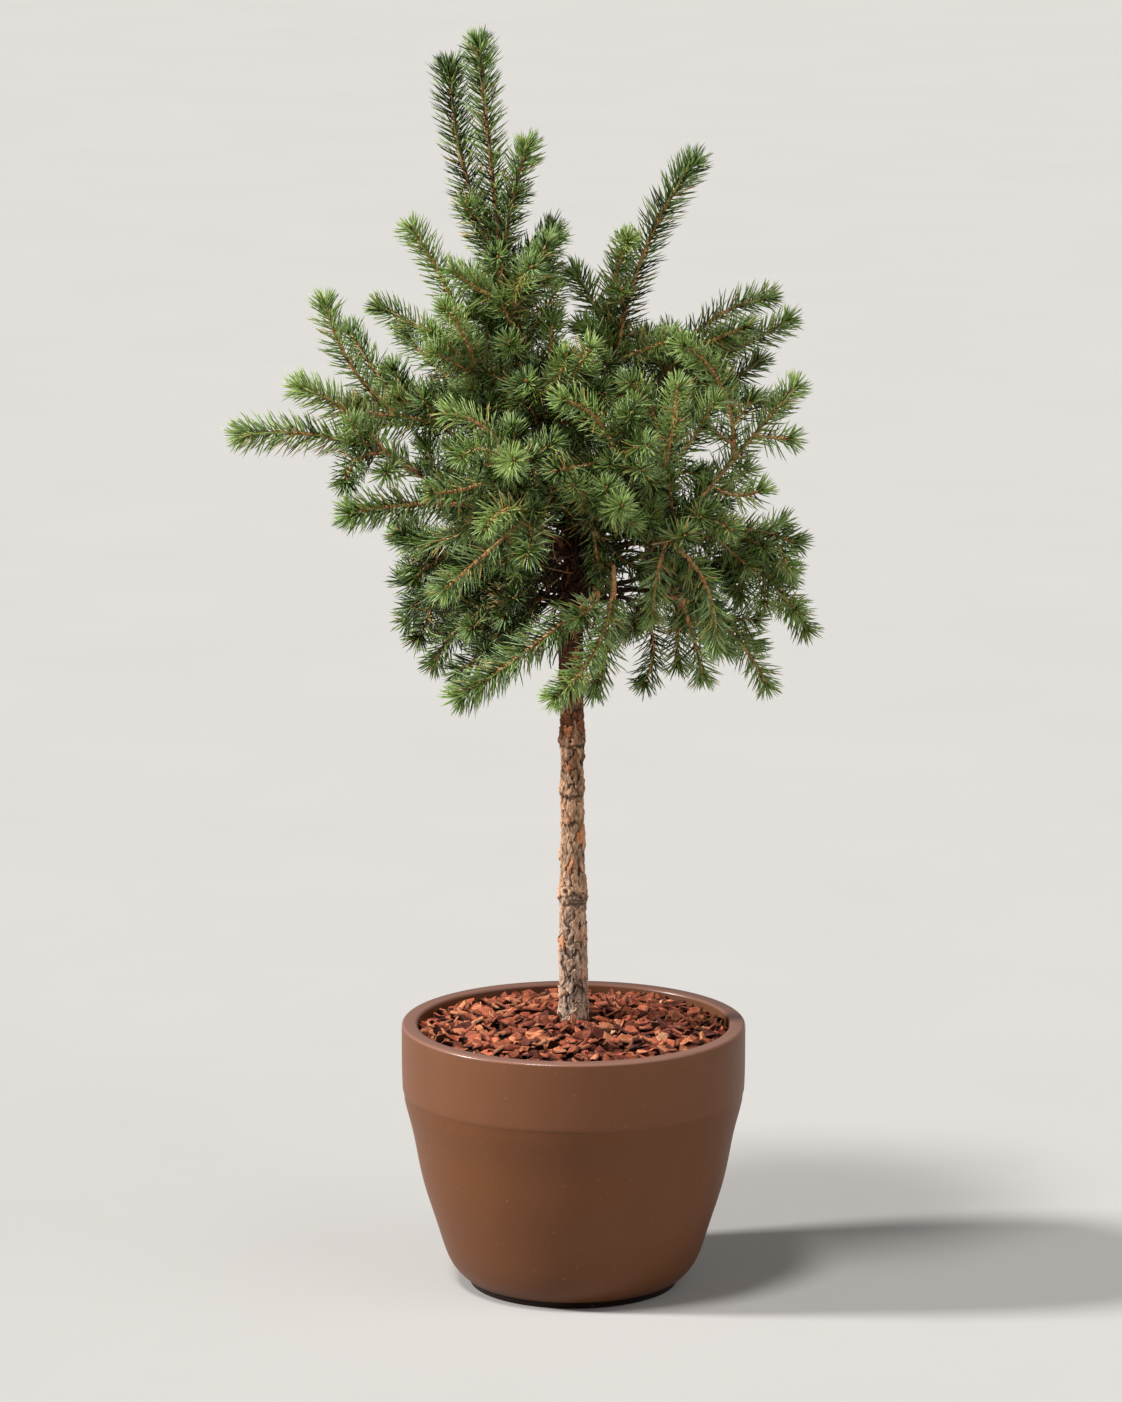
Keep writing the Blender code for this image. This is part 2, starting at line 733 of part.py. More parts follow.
def mass_object(skeleton, index, sleeves, space, rng, collection, finish):
    """One mass: its stem with every needled shoot fused on. Returns it, and whether its mesh is sound."""
    name = "needles_" + skeleton.mass.name
    stem_line = skeleton.collar
    stem_radii = [skeleton.radii[1]] * 2
    rooted = skeleton.bough is not None and not skeleton.mass.own_bough
    if rooted:
        stem_line = skeleton.bough
        stem_radii = np.linspace(*skeleton.radii, len(stem_line))
    mesh = tube(name, stem_line, stem_radii, BOUGH_SIDES_LEVEL, collection)
    mass = add_object(name, mesh, collection, finish)
    sprays = new_collection("sprays", hidden=True)
    for i, line in enumerate(skeleton.lines):
        mesh = shoot_mesh(f"{name}_{i}", line, index, space, rng)
        add_object(f"{name}_{i}", mesh, sprays)
    sound = boolean(mass, "UNION", group=sprays)
    for spray in list(sprays.objects):
        bpy.data.objects.remove(spray)
    bpy.data.collections.remove(sprays)
    for sleeve in sleeves if rooted else ():
        sound = boolean(mass, "DIFFERENCE", other=sleeve) and sound
    return mass, sound


def add_masses(skeletons, sleeves, space, collection, finish):
    """One solid a mass. One whose faces meet badly is made again with its cores turned otherwise."""
    for index, skeleton in enumerate(skeletons):
        for turn in range(TRIES):
            rng = random.Random(100 * turn + index)
            mass, sound = mass_object(skeleton, index, sleeves, space, rng, collection, finish)
            if sound:
                break
            if turn < TRIES - 1:
                bpy.data.objects.remove(mass)


def main():
    """Builds the pot, its fill and the plant."""
    clear_scene()
    plant = new_collection("potted_scots_pine_standard")
    cutters = new_collection("cutters", hidden=True)
    make_pot(plant)
    make_soil(plant)
    make_mulch(plant)
    bark = material("bark", BARK_FINISH)
    needles = material("needles", NEEDLE_FINISH)
    sleeves = [
        add_object("trunk_sleeve", stem_mesh("trunk_sleeve", GAP, cutters), cutters),
        add_object("leader_sleeve", leader_mesh("leader_sleeve", GAP, cutters), cutters),
    ]
    for sleeve in sleeves:
        sleeve.hide_render = True
        sleeve.display_type = "WIRE"
    add_object("trunk", stem_mesh("trunk", 0.0, plant), plant, bark)
    leader = add_object("leader", leader_mesh("leader", 0.0, plant), plant, bark)
    boolean(leader, "DIFFERENCE", other=sleeves[0])
    skeletons = [Skeleton(mass) for mass in HEAD]
    space = Space(skeletons)
    add_boughs(skeletons, sleeves, plant, bark)
    add_masses(skeletons, sleeves, space, plant, needles)


main()
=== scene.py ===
"""Looks of a grafted Scots pine standard in a round planter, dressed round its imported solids.

Metres, +Z up, on the frame's own axes: the origin lies on the ground under the middle of the pot, +X
runs to the right of the plant's face and +Y runs away behind it.
"""

import json
import logging
import math
from dataclasses import dataclass, field
from enum import Enum

import bpy
import numpy as np
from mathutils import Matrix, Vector

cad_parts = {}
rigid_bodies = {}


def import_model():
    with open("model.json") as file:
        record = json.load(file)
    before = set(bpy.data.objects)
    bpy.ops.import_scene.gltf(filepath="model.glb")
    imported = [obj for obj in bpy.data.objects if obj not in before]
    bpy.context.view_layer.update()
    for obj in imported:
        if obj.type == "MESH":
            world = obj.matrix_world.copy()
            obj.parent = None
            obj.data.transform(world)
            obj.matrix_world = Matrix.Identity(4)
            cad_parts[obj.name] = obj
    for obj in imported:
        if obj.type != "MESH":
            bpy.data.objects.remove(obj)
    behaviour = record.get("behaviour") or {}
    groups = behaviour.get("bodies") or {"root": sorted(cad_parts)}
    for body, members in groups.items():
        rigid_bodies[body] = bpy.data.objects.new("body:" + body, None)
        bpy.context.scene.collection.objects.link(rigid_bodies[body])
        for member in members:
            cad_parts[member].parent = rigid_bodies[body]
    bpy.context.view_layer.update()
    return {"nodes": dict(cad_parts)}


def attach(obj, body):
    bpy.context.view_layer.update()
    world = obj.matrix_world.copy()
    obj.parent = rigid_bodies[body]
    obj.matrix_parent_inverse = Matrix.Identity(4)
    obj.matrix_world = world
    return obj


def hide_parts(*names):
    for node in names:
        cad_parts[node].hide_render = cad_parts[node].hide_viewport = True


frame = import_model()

logging.basicConfig(level=logging.INFO, format="%(message)s")
log = logging.getLogger("pine")

Array = np.ndarray

GOLDEN_ANGLE = math.pi * (3 - math.sqrt(5))


def linear(shade: str) -> tuple[float, float, float]:
    """Turns a screen colour written as six hex digits into the linear colour a shader takes.

    Args:
        shade: red, green and blue as two hex digits each.

    Returns:
        The linear red, green and blue, by the usual screen curve.
    """
    parts = [int(shade[i:i + 2], 16) / 255 for i in (0, 2, 4)]
    return tuple(part / 12.92 if part <= 0.04045 else ((part + 0.055) / 1.055) ** 2.4 for part in parts)


def unit(rows: Array) -> Array:
    """Rows of vectors, each brought to length 1."""
    return rows / np.linalg.norm(rows, axis=-1, keepdims=True)


def smooth_step(share: Array) -> Array:
    """Eases a share in and out: 3t^2 - 2t^3, held to 0 to 1."""
    held = np.clip(share, 0, 1)
    return held * held * (3 - 2 * held)


@dataclass
class Patch:
    """A stretch of surface: its corner places, its triangles, and named values at the corners."""

    places: Array
    corners: Array
    marks: dict[str, Array] = field(default_factory=dict)


class Bag:
    """Patches that end up as one piece."""

    def __init__(self) -> None:
        """Starts an empty bag."""
        self.patches: list[Patch] = []

    def add(self, patch: Patch) -> None:
        """Puts a patch in."""
        self.patches.append(patch)

    def joined(self) -> Patch:
        """Joins the patches, in order.

        Returns:
            One patch, with the triangles renumbered.
        """
        starts = np.cumsum([0] + [len(patch.places) for patch in self.patches[:-1]])
        corners = [patch.corners + start for patch, start in zip(self.patches, starts)]
        keys = self.patches[0].marks
        marks = {key: np.concatenate([patch.marks[key] for patch in self.patches]) for key in keys}
        places = np.concatenate([patch.places for patch in self.patches])
        return Patch(places, np.concatenate(corners), marks)


def make_piece(name: str, patch: Patch, finish: bpy.types.Material, slot: str | None,
               nodes: list[str], smooth: bool = True) -> bpy.types.Object:
    """Puts a patch into a mesh object at the origin.

    Args:
        name: name of the piece.
        patch: its surface.
        finish: its material.
        slot: the record's material slot, or None for what isn't part of the plant.
        nodes: the solids that it stands for.
        smooth: whether its faces are shaded smooth.

    Returns:
        The object.
    """
    mesh = bpy.data.meshes.new(name)
    mesh.vertices.add(len(patch.places))
    mesh.vertices.foreach_set("co", patch.places.astype(np.float32).ravel())
    mesh.loops.add(patch.corners.size)
    mesh.loops.foreach_set("vertex_index", patch.corners.astype(np.int32).ravel())
    mesh.polygons.add(len(patch.corners))
    mesh.polygons.foreach_set("loop_start", np.arange(0, patch.corners.size, 3, dtype=np.int32))
    mesh.polygons.foreach_set("use_smooth", np.full(len(patch.corners), smooth))
    for key, values in patch.marks.items():
        mark = mesh.attributes.new(key, "FLOAT", "POINT")
        mark.data.foreach_set("value", values.astype(np.float32))
    mesh.materials.append(finish)
    mesh.update(calc_edges=True)
    made = bpy.data.objects.new(name, mesh)
    bpy.context.scene.collection.objects.link(made)
    if slot:
        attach(made, "root")
    if nodes:
        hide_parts(*nodes)
    log.info("%s: %d triangles", name, len(patch.corners))
    return made


def tube_corners(rings: int, sides: int) -> Array:
    """Triangles of a tube's skin, with a fan to a pole at each end.

    Args:
        rings: rings along the tube.
        sides: corners round each ring.

    Returns:
        Rows of three corner numbers. The corners run ring by ring, then the foot's pole, then the tip's.
    """
    ring, side = np.meshgrid(np.arange(rings - 1), np.arange(sides), indexing="ij")
    low = ring * sides + side
    low_next = ring * sides + (side + 1) % sides
    high, high_next = low + sides, low_next + sides
    trios = ((low, low_next, high_next), (low, high_next, high))
    skin = [np.stack(trio, -1).reshape(-1, 3) for trio in trios]
    spot = np.arange(sides)
    after = (spot + 1) % sides
    last = (rings - 1) * sides
    foot = np.stack([np.full(sides, rings * sides), after, spot], 1)
    tip = np.stack([np.full(sides, rings * sides + 1), last + spot, last + after], 1)
    return np.concatenate([*skin, foot, tip])


def frames_along(path: Array) -> tuple[Array, Array, Array]:
    """The direction of a path at each of its points, and two directions square to it.

    The first square direction is one fixed axis, the one the path runs along least, with its share of
    the path's direction taken out. The second is the cross product of the two.

    Args:
        path: points along the path.

    Returns:
        The ways along, the first and the second square directions, a row for each point.
    """
    ways = unit(np.gradient(path, axis=0))
    axis = np.eye(3)[np.argmin(np.abs(ways.mean(0)))]
    first = unit(axis - ways * (ways @ axis)[:, None])
    return ways, first, np.cross(ways, first)


def turned_way(angles: Array, first: Array, second: Array) -> Array:
    """Directions at angles from the first way towards the second, by cosine and sine."""
    return np.cos(angles)[..., None] * first + np.sin(angles)[..., None] * second


def tube(path: Array, radii: Array) -> Patch:
    """A closed tube along a path: each ring stands square to the path, at its own radius all round.

    Args:
        path: points along the middle.
        radii: a row of radii for each ring, one for each side.

    Returns:
        The tube's surface.
    """
    _, first, second = frames_along(path)
    sides = radii.shape[1]
    angles = 2 * math.pi * np.arange(sides) / sides
    rings = path[:, None] + radii[..., None] * turned_way(angles, first[:, None], second[:, None])
    places = np.concatenate([rings.reshape(-1, 3), path[:1], path[-1:]])
    return Patch(places, tube_corners(len(path), sides))


def lattice_noise(u: Array, v: Array, cells: tuple[int, int], rng: np.random.Generator) -> Array:
    """A soft random field over a sheet that closes in u.

    Random values stand at the corners of a lattice. Between them the four nearest are blended by
    weights that ease in and out.

    Args:
        u: place round the sheet, once round for 1.
        v: place along it, 0 to 1.
        cells: lattice cells round and along.
        rng: source of the values.

    Returns:
        Values between 0 and 1.
    """
    values = rng.random((cells[0], cells[1] + 2))
    x, y = (u % 1) * cells[0], np.clip(v, 0, 1) * cells[1]
    i, j = np.floor(x).astype(int), np.floor(y).astype(int)
    a, b = smooth_step(x - i), smooth_step(y - j)
    i, after = i % cells[0], (i + 1) % cells[0]
    low = values[i, j] * (1 - a) + values[after, j] * a
    high = values[i, j + 1] * (1 - a) + values[after, j + 1] * a
    return low * (1 - b) + high * b


def bark_plates(u: Array, v: Array, cells: tuple[int, int],
                rng: np.random.Generator) -> tuple[Array, Array, Array]:
    """Splits a sheet that closes in u into plates.

    One seed lies somewhere in each cell of a lattice, and a point belongs to the plate of its nearest
    seed. How much further off the second nearest seed is tells how far the point is from the crack.
    A plate leans its own way, so its lift follows the distance from its seed along that way.

    Args:
        u: place round the sheet, once round for 1.
        v: place along it, 0 to 1.
        cells: cells round and along.
        rng: source of the seeds.

    Returns:
        The distance from the crack, in cells, a tone between 0 and 1 for each plate, and the lift.
    """
    across, along = cells
    seeds = rng.random((across, along + 3, 2)) * 0.84 + 0.08
    tones = rng.random((across, along + 3))
    leans = rng.normal(0, 1, (across, along + 3, 2))
    x, y = (u % 1) * across, np.clip(v, 0, 1) * along + 1
    i, j = np.floor(x).astype(int), np.floor(y).astype(int)
    best = np.full(x.shape, 9.0)
    second = best.copy()
    tone = np.zeros(x.shape)
    lift = np.zeros(x.shape)
    for step_u in (-1, 0, 1):
        for step_v in (-1, 0, 1):
            cell_u, cell_v = i + step_u, np.clip(j + step_v, 0, along + 2)
            seed, lean = seeds[cell_u % across, cell_v], leans[cell_u % across, cell_v]
            off_u, off_v = x - cell_u - seed[..., 0], y - cell_v - seed[..., 1]
            gap = np.hypot(off_u, off_v)
            nearer = gap < best
            second = np.where(nearer, best, np.minimum(second, gap))
            tone = np.where(nearer, tones[cell_u % across, cell_v], tone)
            lift = np.where(nearer, off_u * lean[..., 0] + off_v * lean[..., 1], lift)
            best = np.where(nearer, gap, best)
    return second - best, tone, lift


@dataclass(frozen=True)
class Scar:
    """Where a side branch once stood: its heading in degrees, its height and its radius."""

    heading: float
    height: float
    size: float


@dataclass(frozen=True)
class Whorl:
    """A ring round the stem where a year's branches once stood: its height and how far it stands out."""

    height: float
    rise: float


@dataclass
class Sheet:
    """The skin of a limb while its bark is worked out, ring by ring and corner by corner.

    Share runs from 0 at the foot to 1 at the tip, and turn from 0 to 1 round the limb. Around and along
    say how many plates it takes. Relief and crack start at zero.
    """

    path: Array
    radii: Array
    share: Array
    turn: Array
    around: int
    along: int
    rng: np.random.Generator

    def __post_init__(self) -> None:
        """Starts with a smooth skin."""
        self.relief = np.zeros(self.turn.shape)
        self.crack = np.zeros(self.turn.shape)

    def soft(self, times_round: int, times_along: int) -> Array:
        """Soft noise with so many cells for each plate, about zero."""
        cells = (self.around * times_round, self.along * times_along)
        return lattice_noise(self.turn, self.share, cells, self.rng) - 0.5

    def darken(self, crack: Array) -> None:
        """Marks places as cracked, where they aren't already more so."""
        self.crack = np.maximum(self.crack, crack)

    def add_whorl(self, whorl: Whorl, ragged: Array) -> None:
        """Raises a ragged ridge all round, with a dark line under it as its painted shadow, and dark
        patches on it.

        Args:
            whorl: the ridge. It rises as a bell curve over its height.
            ragged: noise that shifts it up and down.
        """
        off = (self.path[:, 2:] - whorl.height) / 0.0035 + 1.6 * ragged
        bumps = 0.7 + 1.2 * np.clip(self.soft(2, 1) + 0.3, 0, 1)
        self.relief = self.relief + whorl.rise * np.exp(-off ** 2) * bumps
        # Painted shadow under the ridge.
        self.darken(0.8 * np.exp(-(off + 1.5) ** 2))
        # Dark patches on the ridge.
        dark_patches = np.clip(0.8 + 2.5 * self.soft(2, 1), 0, 1)
        self.darken(0.8 * dark_patches * np.exp(-(off / 1.3) ** 2))

    def add_scar(self, scar: Scar, heading: Array, ragged: Array) -> None:
        """Adds a raised ring with a hollow in it, and a thin crack round it.

        Args:
            scar: the scar. Its distances are measured over the skin, and it is wider than high.
            heading: which way the skin faces, in radians.
            ragged: noise that makes the ring uneven.
        """
        off = (heading - math.radians(scar.heading) + math.pi) % (2 * math.pi) - math.pi
        spread = np.hypot(off * self.radii[:, None], (self.path[:, 2:] - scar.height) * 1.35) / scar.size
        spread = spread * (1 + 0.25 * ragged)
        ring = np.exp(-((spread - 1) / 0.3) ** 2)
        hollow = np.exp(-(spread / 0.6) ** 4)
        self.relief = self.relief + 0.24 * scar.size * ring - 0.3 * scar.size * hollow
        self.darken(hollow)
        self.darken(np.exp(-((spread - 1.5) / 0.16) ** 2) * 0.7)


@dataclass(frozen=True)
class Bark:
    """How scaly bark lies on a limb: plate sizes, how deep the cracks are, how unlike the plates, how deep
    the grain, how wide the cracks against a plate, and how many flakes a plate has round and along. A
    flake's lift and crack are weaker than a plate's."""

    plate_width: float
    plate_length: float
    crack_depth: float
    plate_lift: float
    grain: float
    crack_share: float = 0.2
    flakes: tuple[int, int] = (2, 3)
    flake_shift: float = 0.13
    flake_lift: float = 0.55
    flake_depth: float = 0.4
    flake_width: float = 1.35
    flake_dark: float = 0.75
    flake_tone: float = 0.08

    def cover(self, path: Array, radii: Array, sides: int, rng: np.random.Generator,
              scars: tuple[Scar, ...] = (), whorls: tuple[Whorl, ...] = ()) -> Patch:
        """Wraps a limb in bark.

        The radius at each point is the limb's own, plus a lift that each plate has of its own, less the
        crack's depth where the point is near a crack. Small flakes of a second set lie over the plates
        in the same way, and soft noise drawn out along the limb roughens all of it. The cracks open and
        close along their run with another noise. Whorls and scars come on top.

        Args:
            path: points along the limb's middle.
            radii: a radius for each of them.
            sides: corners round the limb.
            rng: source of the pattern.
            scars: where branches once stood, on an upright limb.
            whorls: rings of branch feet, on an upright limb.

        Returns:
            The surface, with the marks crack (1 in a crack), tone (by plate and flake) and level (from
            deep to raised).
        """
        length = np.linalg.norm(np.diff(path, axis=0), axis=1).sum()
        around = max(3, round(2 * math.pi * radii.mean() / self.plate_width))
        along = max(2, round(length / self.plate_length))
        share = np.linspace(0, 1, len(path))[:, None] * np.ones(sides)
        turn = np.arange(sides)[None, :] / sides * np.ones((len(path), 1))
        sheet = Sheet(path, radii, share, turn, around, along, rng)
        soft = sheet.soft
        u = turn + (0.7 * soft(1, 2) + 0.35 * soft(3, 4)) / around
        v = share + (0.9 * soft(2, 1) + 0.4 * soft(3, 3)) / along
        rim, tone, lift = bark_plates(u, v, (around, along), rng)
        flake_cells = (around * self.flakes[0], along * self.flakes[1])
        flake_rim, flake_tone, flake_lift = bark_plates(u + self.flake_shift, v, flake_cells, rng)
        crack = 1 - smooth_step(rim / self.crack_share)
        crack = crack * np.clip(0.75 + 1.6 * soft(2, 2), 0.12, 1)
        flake = 1 - smooth_step(flake_rim / (self.flake_width * self.crack_share))
        flake = flake * np.clip(0.45 + 2.2 * soft(3, 3), 0, 1)
        streak = soft(5, 1) + 0.7 * soft(9, 3) + 0.4 * soft(12, 12)
        lifts = tone - 0.5 + lift + self.flake_lift * (flake_tone - 0.5 + flake_lift)
        depth = self.crack_depth * (crack + self.flake_depth * flake)
        sheet.relief = self.plate_lift * lifts - depth + self.grain * streak
        sheet.darken(np.maximum(crack, self.flake_dark * flake))
        ragged = soft(3, 2)
        for whorl in whorls:
            sheet.add_whorl(whorl, ragged)
        _, first, second = frames_along(path)
        out = turned_way(2 * math.pi * turn, first[:, None], second[:, None])
        heading = np.arctan2(out[..., 1], out[..., 0])
        for scar in scars:
            sheet.add_scar(scar, heading, ragged)
        relief = sheet.relief
        patch = tube(path, radii[:, None] + relief)
        tones = (1 - self.flake_tone) * tone + self.flake_tone * flake_tone
        level = np.clip(0.5 + (relief - relief.mean()) / (5 * relief.std()), 0, 1)
        marks = {"crack": sheet.crack, "tone": tones, "level": level}
        poles = [0.0, 0.0]
        patch.marks = {key: np.concatenate([mark.ravel(), poles]) for key, mark in marks.items()}
        return patch


class Tint(Enum):
    """Needle colours, from the yellowed ones near old wood to the fresh ones at the tips."""

    STRAW = "b8a05c"
    SHADE = "2c3a14"
    DEEP = "566e2c"
    BLUE = "93ad72"
    GREEN = "829e48"
    FRESH = "a3b86c"


class Wood(Enum):
    """Colours of the twigs' skin, darker with age."""

    YOUNG = "d49a66"
    MIDDLE = "b07c55"
    OLD = "3c261b"


@dataclass(frozen=True)
class Limb:
    """A bent limb: the heading and rise of the straight line it spans, in degrees, its length, and how
    many degrees it turns upwards (curl) and leftwards (swing) on the way."""

    heading: float
    rise: float
    length: float
    curl: float = 0
    swing: float = 0

    def path(self, start: Array, steps: int) -> Array:
        """Points along the limb: its direction turns evenly from foot to tip.

        Args:
            start: the foot.
            steps: how many straight steps stand for the curve.

        Returns:
            The points, one more than the steps.
        """
        share = (np.arange(steps) + 0.5) / steps - 0.5
        rise = np.radians(self.rise + self.curl * share)
        heading = np.radians(self.heading + self.swing * share)
        way = np.stack([np.cos(rise) * np.cos(heading), np.cos(rise) * np.sin(heading), np.sin(rise)], 1)
        return np.vstack([start, start + np.cumsum(way * self.length / steps, axis=0)])


def wandering(line: Array, size: float, rng: np.random.Generator) -> Array:
    """A line that strays to its sides on the way, and keeps its two ends.

    Three half waves, shorter and flatter in turn, are added, each in a direction of its own.

    Args:
        line: points along the line.
        size: how far the longest wave usually strays.
        rng: source of the waves.

    Returns:
        The new points.
    """
    share = np.linspace(0, 1, len(line))[:, None]
    waves = [np.sin(k * math.pi * share) * rng.normal(0, size / k ** 1.3, 3) for k in (1, 2, 3)]
    return line + sum(waves)


@dataclass(frozen=True)
class Shoot(Limb):
    """A needled shoot. It leaves its mass's fork, or another shoot of the mass at a share of its length.
    Its glow is added to its mass's, and its needles are so many times the usual length."""

    parent: int | None = None
    share: float = 1.0
    glow: float = 0.0
    needle: float = 1.0


class Carrier(Enum):
    """What a mass's bough grows from."""

    TRUNK = "trunk"
    LEADER = "leader"
    TIP = "leader's tip"


@dataclass(frozen=True)
class Mass:
    """The shoots that one bough carries. The bough leaves the trunk or the leader at a height. Glow says
    how fresh the needles are, and it also carries painted light: it is lower on masses that lie in shade,
    so their needles take darker tints. Extra says how many finer twigs grow between the shoots, the first
    of them at the share inner of the bough. Dense says how many more grow on each shoot, and lush how
    close the needles of its shoots stand against the usual. The shoots' feet stay bare for a length.
    Own_bough says whether the solids have a bough for it, which its limb replaces."""

    name: str
    carrier: Carrier
    height: float
    bough: Limb | None
    shoots: tuple[Shoot, ...]
    own_bough: bool = True
    glow: float = 0.5
    extra: int = 5
    inner: float = 0.45
    bare: float = 0.010
    dense: int = 0
    lush: float = 1.0


def fanned(count: int, heading: float, spread: float, rise: float, stagger: float,
           length: float) -> tuple[Shoot, ...]:
    """Shoots fanned evenly over an arc of headings, rising and dipping in turn, unlike in length.

    Args:
        count: how many shoots.
        heading: heading of the arc's middle, in degrees.
        spread: width of the arc, in degrees.
        rise: mean rise, in degrees.
        stagger: how far one shoot rises over the next, in degrees.
        length: usual length.

    Returns:
        The shoots.
    """
    curl = 10
    shares = (1.0, 0.8, 1.15, 0.9, 1.05, 0.85)
    shoots = []
    for i in range(count):
        turn = spread * ((i + 0.5) / count - 0.5)
        tilt = stagger / 2 if i % 2 else -stagger / 2
        shoots.append(Shoot(heading + turn, rise + tilt, length * shares[i % len(shares)], curl))
    return tuple(shoots)


TRUNK, LEADER, TIP = Carrier
